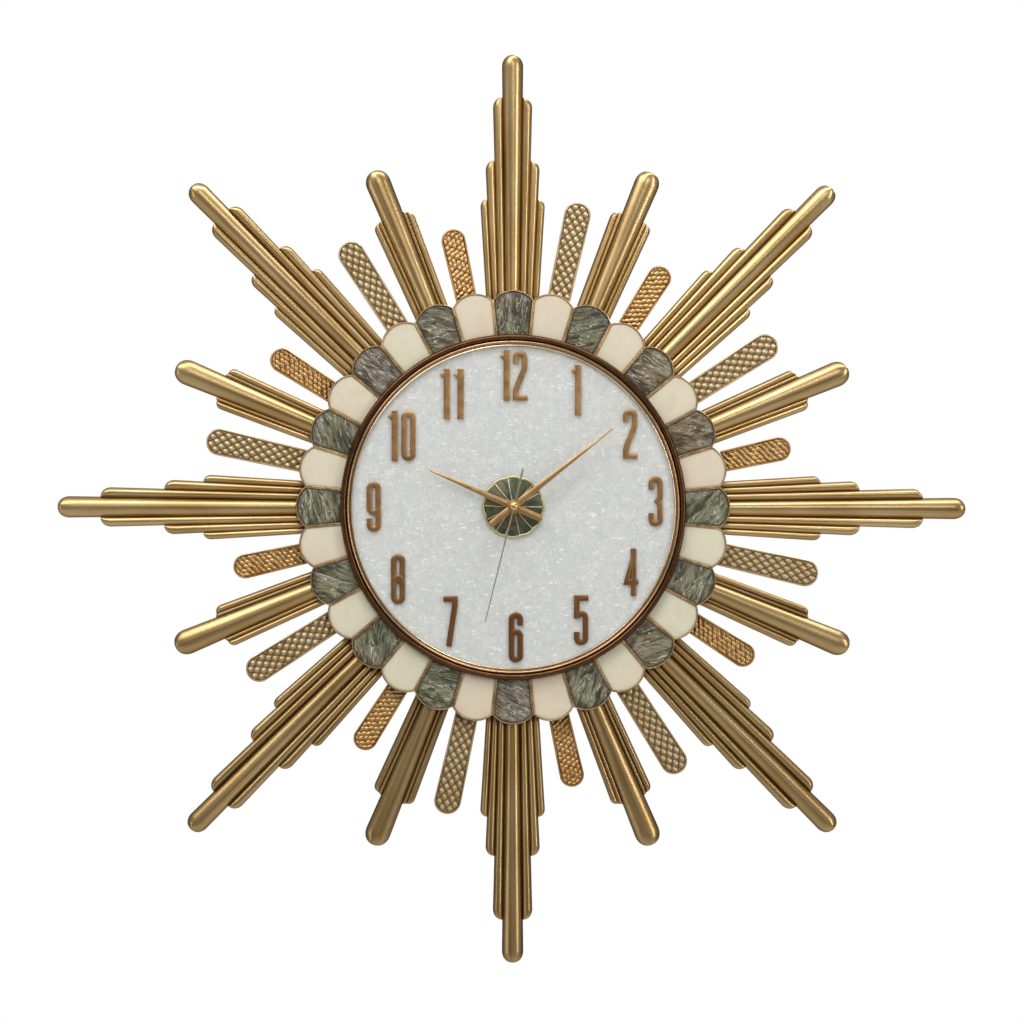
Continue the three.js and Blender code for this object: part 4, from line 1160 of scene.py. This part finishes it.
# ---- Movement
def make_case():
    """The moulded case with soft corners, its open rear, and the threaded bushing."""
    front = 16.0
    bush, bore = 4.0, 2.9
    inner = CASE_HALF - 1.0
    # (half size, corner radius, height) round the wall's section; the bushing is a box whose corners meet
    stations = [
        (CASE_HALF - 0.2, 2.8, CASE_REAR), (CASE_HALF, 3.0, CASE_REAR + 0.2), (CASE_HALF, 3.0, front - 1.4),
        (CASE_HALF - 0.4, 3.0, front - 0.5), (CASE_HALF - 1.2, 3.0, front), (16.0, 10.0, front),
        (8.0, 8.0, front), (bush + 1.2, bush + 1.2, front), (bush, bush, front + 0.8),
    ]
    pitch = 0.7
    turns = int((BUSH_TOP - 0.6 - front - 0.8) / pitch)
    for i in range(turns):
        z = front + 0.8 + i * pitch
        stations += [(bush, bush, z + 0.1), (bush - 0.3, bush - 0.3, z + 0.45)]
    stations += [(bush - 0.4, bush - 0.4, BUSH_TOP), (bore, bore, BUSH_TOP), (bore, bore, front - 1)]
    stations += [(8.0, 8.0, front - 1), (16.0, 10.0, front - 1), (inner, 2.0, front - 1)]
    stations += [(inner, 2.0, CASE_REAR)]
    rings = [[(x, y, z) for x, y in rounded_box(half, half, r)] for half, r, z in stations]
    case = loft(rings, looped=True)
    piece("movement_case_moulding", case, "black_moulded", "movement_case")


def make_cover():
    """The rear cover with a raised border, a collar round the knob and snap tabs."""
    low, high = COVER_LOW[2], COVER_HIGH[2]
    cy = (COVER_LOW[1] + COVER_HIGH[1]) / 2
    half_x, half_y = COVER_HIGH[0], (COVER_HIGH[1] - COVER_LOW[1]) / 2
    knob_x = (KNOB_LOW[0] + KNOB_HIGH[0]) / 2
    knob_r = (KNOB_HIGH[0] - KNOB_LOW[0]) / 2 + 0.5
    skin = low + 0.3
    border = 1.4
    plate = sheet(rounded_box(half_x, half_y, 2.6, 0, cy), [circle(knob_r, knob_x, 0)], skin, high, 0.15)
    plate.join(sheet(
        rounded_box(half_x - 0.4, half_y - 0.4, 2.2, 0, cy),
        [rounded_box(half_x - 0.4 - border, half_y - 0.4 - border, 1.4, 0, cy)], low, skin + 0.1, 0.1,
    ))
    eyelet = [circle(knob_r + 0.4, knob_x, 0)]
    plate.join(sheet(circle(knob_r + 1.6, knob_x, 0), eyelet, low, skin + 0.1, 0.1))
    for x in range(-20, 1, 4):
        plate.join(sheet(rounded_box(0.7, 6.5, 0.7, x, 16), [], low + 0.05, skin + 0.1, 0.1))
    for x in (-16, 16):
        plate.join(sheet(rounded_box(3, 0.8, 0.4, x, COVER_LOW[1] + 3.4), [], low, skin + 0.1, 0.1))
    piece("movement_cover_moulding", plate, "black_moulded", "movement_cover", seed=2)


def make_knob():
    """The setting knob: a fluted edge and a finger groove across its rear face."""
    low, high = KNOB_LOW[2], 2.2
    neck_r, bore_r, bore_end = 2.2, 1.15, 2.6
    radius = (KNOB_HIGH[0] - KNOB_LOW[0]) / 2
    centre = ((KNOB_LOW[0] + KNOB_HIGH[0]) / 2, 0.0, 0.0)
    steps = 120

    def ring(r, z, fluted):
        points = []
        for i in range(steps):
            a = TURN * i / steps
            swell = 1 - 0.03 * (1 + math.cos(24 * a)) / 2 if fluted else 1.0
            points.append((r * swell * math.cos(a), r * swell * math.sin(a), z))
        return points

    def face(r):
        """The rear face dips into the groove where a point lies near its middle line."""
        return [
            (x, y, low + 0.7 * max(0.0, min(1.0, (1.2 - abs(y)) / 0.35)))
            for x, y, _ in ring(r, low, False)
        ]

    rings = [face(radius * i / 24) for i in range(1, 23)]
    rings += [ring(radius - 0.25, low + 0.02, True), ring(radius, low + 0.3, True)]
    rings += [ring(radius, high - 0.2, True)]
    rings += [ring(radius - 0.2, high, True), ring(neck_r, high, False)]
    rings += [ring(neck_r, KNOB_HIGH[2], False), ring(bore_r, KNOB_HIGH[2], False)]
    rings.append(ring(bore_r, bore_end, False))
    knob = turned(loft(rings), 0.0, centre)
    piece("setting_knob_moulding", knob, "black_moulded", "setting_knob", "motion", seed=5)


def battery_finish():
    """A dark blue wrap with a copper-coloured band at one end and bare metal caps."""
    n = Look("battery_finish")
    half_length = 26.0
    along = n.add("ShaderNodeSeparateXYZ", "X", {"Vector": n.grain()})
    where = n.maths("DIVIDE", n.maths("ADD", along, half_length), 2 * half_length)
    dark, copper, bare = (0.03, 0.06, 0.11), (0.48, 0.22, 0.08), (0.62, 0.62, 0.60)
    stops = [(0.028, bare), (0.032, dark), (0.66, dark), (0.665, copper), (0.955, copper), (0.96, bare)]
    scuffs = n.noise(n.grain((0.6, 2, 2)), 1.0, detail=5)
    base = n.mix(n.ramp(scuffs, [(0.62, 0.0), (0.75, 0.35)]), n.ramp(where, stops), (0.25, 0.25, 0.25))
    rough = n.ramp(scuffs, [(0.3, 0.28), (0.7, 0.42)])
    n.finish(base, rough, n.bump(scuffs, 0.02, strength=0.4), Metallic=0.6)


def along_x(profile, cy, cz, steps=64):
    """A closed profile of (x, radius) points turned about an axis along x."""
    rings = []
    for i in range(steps):
        a = TURN * i / steps
        rings.append([(x, cy + r * math.cos(a), cz + r * math.sin(a)) for x, r in profile])
    return loft(rings, looped=True)


def make_battery():
    x0, x1 = CELL_LOW[0], CELL_HIGH[0] - 1.0
    radius = (CELL_HIGH[1] - CELL_LOW[1]) / 2
    nub = 2.7
    profile = [
        (x0 + 0.25, 0.02), (x0 + 0.25, radius - 1.6), (x0, radius - 1.3), (x0, radius - 0.7),
        (x0 + 0.5, radius - 0.1), (x0 + 1.0, radius), (x1 - 1.0, radius), (x1 - 0.3, radius - 0.3),
        (x1, radius - 0.9), (x1 - 0.2, radius - 1.5),
        (x1 - 0.2, nub + 0.8), (x1, nub + 0.2), (x1 + 0.7, nub), (x1 + 1.0, nub - 0.4), (x1 + 1.0, 0.02),
    ]
    battery_finish()
    cell = along_x(profile, CELL_Y, CELL_Z)
    piece("battery_cell", cell, "battery_finish", "battery", "battery")


def coil_spring(x0, x1, radius_0, radius_1, cy, cz, turns, wire):
    """A conical wire spring along x."""
    steps, sides = 40 * turns, 8
    rings = []
    for i in range(steps + 1):
        share = i / steps
        a = TURN * turns * share
        r = radius_0 + (radius_1 - radius_0) * share
        x = x0 + (x1 - x0) * share
        ring = []
        for j in range(sides):
            b = TURN * j / sides
            out = r + wire * math.cos(b)
            ring.append((x + wire * math.sin(b), cy + out * math.cos(a), cz + out * math.sin(a)))
        rings.append(ring)
    return loft(rings)


def upright_sheet(half_y, half_z, cy, cz, x0, x1):
    """A thin plate square to x with round corners."""
    flat = sheet(rounded_box(half_y, half_z, 1.0, cy, cz), [], x0, x1, 0.08)
    return Shape().add([(z, x, y) for x, y, z in flat.points], flat.faces)


def make_contacts():
    """A flat plate for the cell's nub and a wire spring on a plate for its other end."""
    for name in ("contact_positive", "contact_negative"):
        low, high = span(name)
        x0 = low[0] if name == "contact_negative" else high[0] - 0.5
        half_width = 6.0
        shape = upright_sheet(
            half_width, (high[2] - low[2]) / 2, low[1] + half_width, (low[2] + high[2]) / 2, x0, x0 + 0.5,
        )
        shape.join(upright_sheet(2.6, 1.5, high[1] - 2.6, 6.5, x0, x0 + 0.5))
        if name == "contact_negative":
            spring = coil_spring(x0 + 0.8, high[0] - 0.36, 3.6, 2.4, CELL_Y, CELL_Z, turns=3, wire=0.3)
            shape.join(spring)
        piece(name + "_strip", shape, "zinc_plated", name)


def dress_movement():
    """Procedural finishes on the nodes that stay inside the case as they are in the frame."""
    surface("white_nylon", Nodes.place, (0.74, 0.72, 0.65), (0.80, 0.79, 0.73), 0.42)
    surface("green_board", Nodes.place, (0.015, 0.11, 0.04), (0.03, 0.16, 0.06), 0.4)
    surface("zinc_steel", Nodes.place, (0.55, 0.56, 0.58), (0.66, 0.67, 0.68), 0.3, 1.0)
    surface("soft_iron", Nodes.place, (0.36, 0.36, 0.37), (0.46, 0.46, 0.47), 0.36, 1.0)
    surface("copper_winding", Nodes.place, (0.44, 0.16, 0.07), (0.58, 0.25, 0.12), 0.34, 1.0)
    wheels = ("intermediate", "third", "second", "centre", "minute", "hour")
    finishes = {
        "zinc_steel": ("hex_nut",),
        "green_board": ("circuit_board",),
        "copper_winding": ("coil",),
        "soft_iron": ("stator", "rotor"),
        "white_nylon": ("bearing_plate", *(wheel + "_wheel" for wheel in wheels)),
    }
    for look, names in finishes.items():
        for name in names:
            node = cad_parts[name]
            node.data.materials.clear()
            node.data.materials.append(LOOKS[look])


# ---- Studio
CAMERA_ELEVATION = -2.5
CAMERA_FROM_LEFT = 2.5
CAMERA_DISTANCE = 6.0
VIEW_WIDTH = 0.770
AIM = (-0.0009, -0.0037)


def make_camera():
    data = bpy.data.cameras.new("camera")
    camera = linked("camera", data)
    target = Vector((AIM[0], -DIAL_FRONT * MM, AIM[1]))
    elevation, azimuth = math.radians(CAMERA_ELEVATION), math.radians(CAMERA_FROM_LEFT)
    flat = math.cos(elevation)
    away = Vector((-math.sin(azimuth) * flat, -math.cos(azimuth) * flat, math.sin(elevation)))
    camera.location = target + CAMERA_DISTANCE * away
    camera.rotation_euler = (-away).to_track_quat("-Z", "Y").to_euler()
    data.sensor_width = 36
    data.lens = data.sensor_width * CAMERA_DISTANCE / VIEW_WIDTH
    data.clip_end = 60
    bpy.context.scene.camera = camera


def softbox(name, place, size, power, colour):
    data = bpy.data.lights.new(name, "AREA")
    data.shape = "RECTANGLE"
    data.size, data.size_y = size
    data.energy = power
    data.color = colour
    lamp = linked(name, data)
    lamp.location = place
    lamp.rotation_euler = (-Vector(place)).to_track_quat("-Z", "Y").to_euler()


def make_world():
    """A dim surround that is brighter above than below, and white where the camera looks past the clock."""
    world = bpy.data.worlds.new("studio")
    bpy.context.scene.world = world
    world.use_nodes = True
    n = Nodes(world.node_tree)
    direction = n.add("ShaderNodeTexCoord", "Generated", {})
    height = n.add("ShaderNodeSeparateXYZ", "Z", {"Vector": direction})
    share = n.add("ShaderNodeMapRange", "Result", {"Value": height, "From Min": -1})
    stops = [
        (0.0, (0.08, 0.06, 0.045)), (0.40, (0.12, 0.10, 0.08)), (0.48, (0.28, 0.26, 0.23)),
        (0.60, (0.40, 0.39, 0.37)), (0.72, (0.26, 0.26, 0.26)), (1.0, (0.80, 0.80, 0.80)),
    ]
    seen = n.add("ShaderNodeLightPath", "Is Camera Ray", {})
    colour = n.mix(seen, n.ramp(share, stops), (1.0, 1.0, 1.0))
    n.feed(colour, world.node_tree.nodes["Background"].inputs["Color"])


def make_floor():
    """A plain pale floor under the clock, out of its picture."""
    drop = 1.3
    size = 6.0
    mesh = bpy.data.meshes.new("floor")
    square = ((-1, -1), (1, -1), (1, 1), (-1, 1))
    mesh.from_pydata([(x * size, y * size, -drop) for x, y in square], [], [(0, 1, 2, 3)])
    n = Look("floor_paint")
    speck = n.noise(n.place(1.0), 30.0)
    n.finish(n.ramp(speck, [(0.3, 0.60), (0.7, 0.66)]), 0.8)
    mesh.materials.append(LOOKS["floor_paint"])
    linked("floor", mesh)


def make_studio():
    make_camera()
    make_world()
    make_floor()
    softbox("key", (-0.9, -1.3, 1.5), (1.6, 1.2), 20, (1.0, 0.98, 0.95))
    softbox("right_strip", (1.9, -1.6, 0.35), (0.35, 1.6), 14, (1.0, 0.97, 0.92))
    softbox("top_strip", (0.4, -0.7, 1.7), (1.8, 0.35), 14, (1.0, 0.99, 0.97))
    softbox("front", (0.4, -3.4, 1.2), (0.8, 0.8), 8, (1.0, 1.0, 1.0))
    softbox("left_strip", (-2.6, -1.5, -0.3), (0.3, 1.4), 5, (1.0, 0.96, 0.9))
    softbox("back", (0.9, 2.2, 1.2), (1.6, 1.2), 40, (1.0, 1.0, 1.0))
    bpy.context.scene.view_settings.view_transform = "Standard"


make_rays()
make_petals()
make_bezel()
make_dial()
make_figures()
make_rosette()
make_hands()
make_back_pan()
make_case()
make_cover()
make_knob()
make_battery()
make_contacts()
dress_movement()
make_studio()
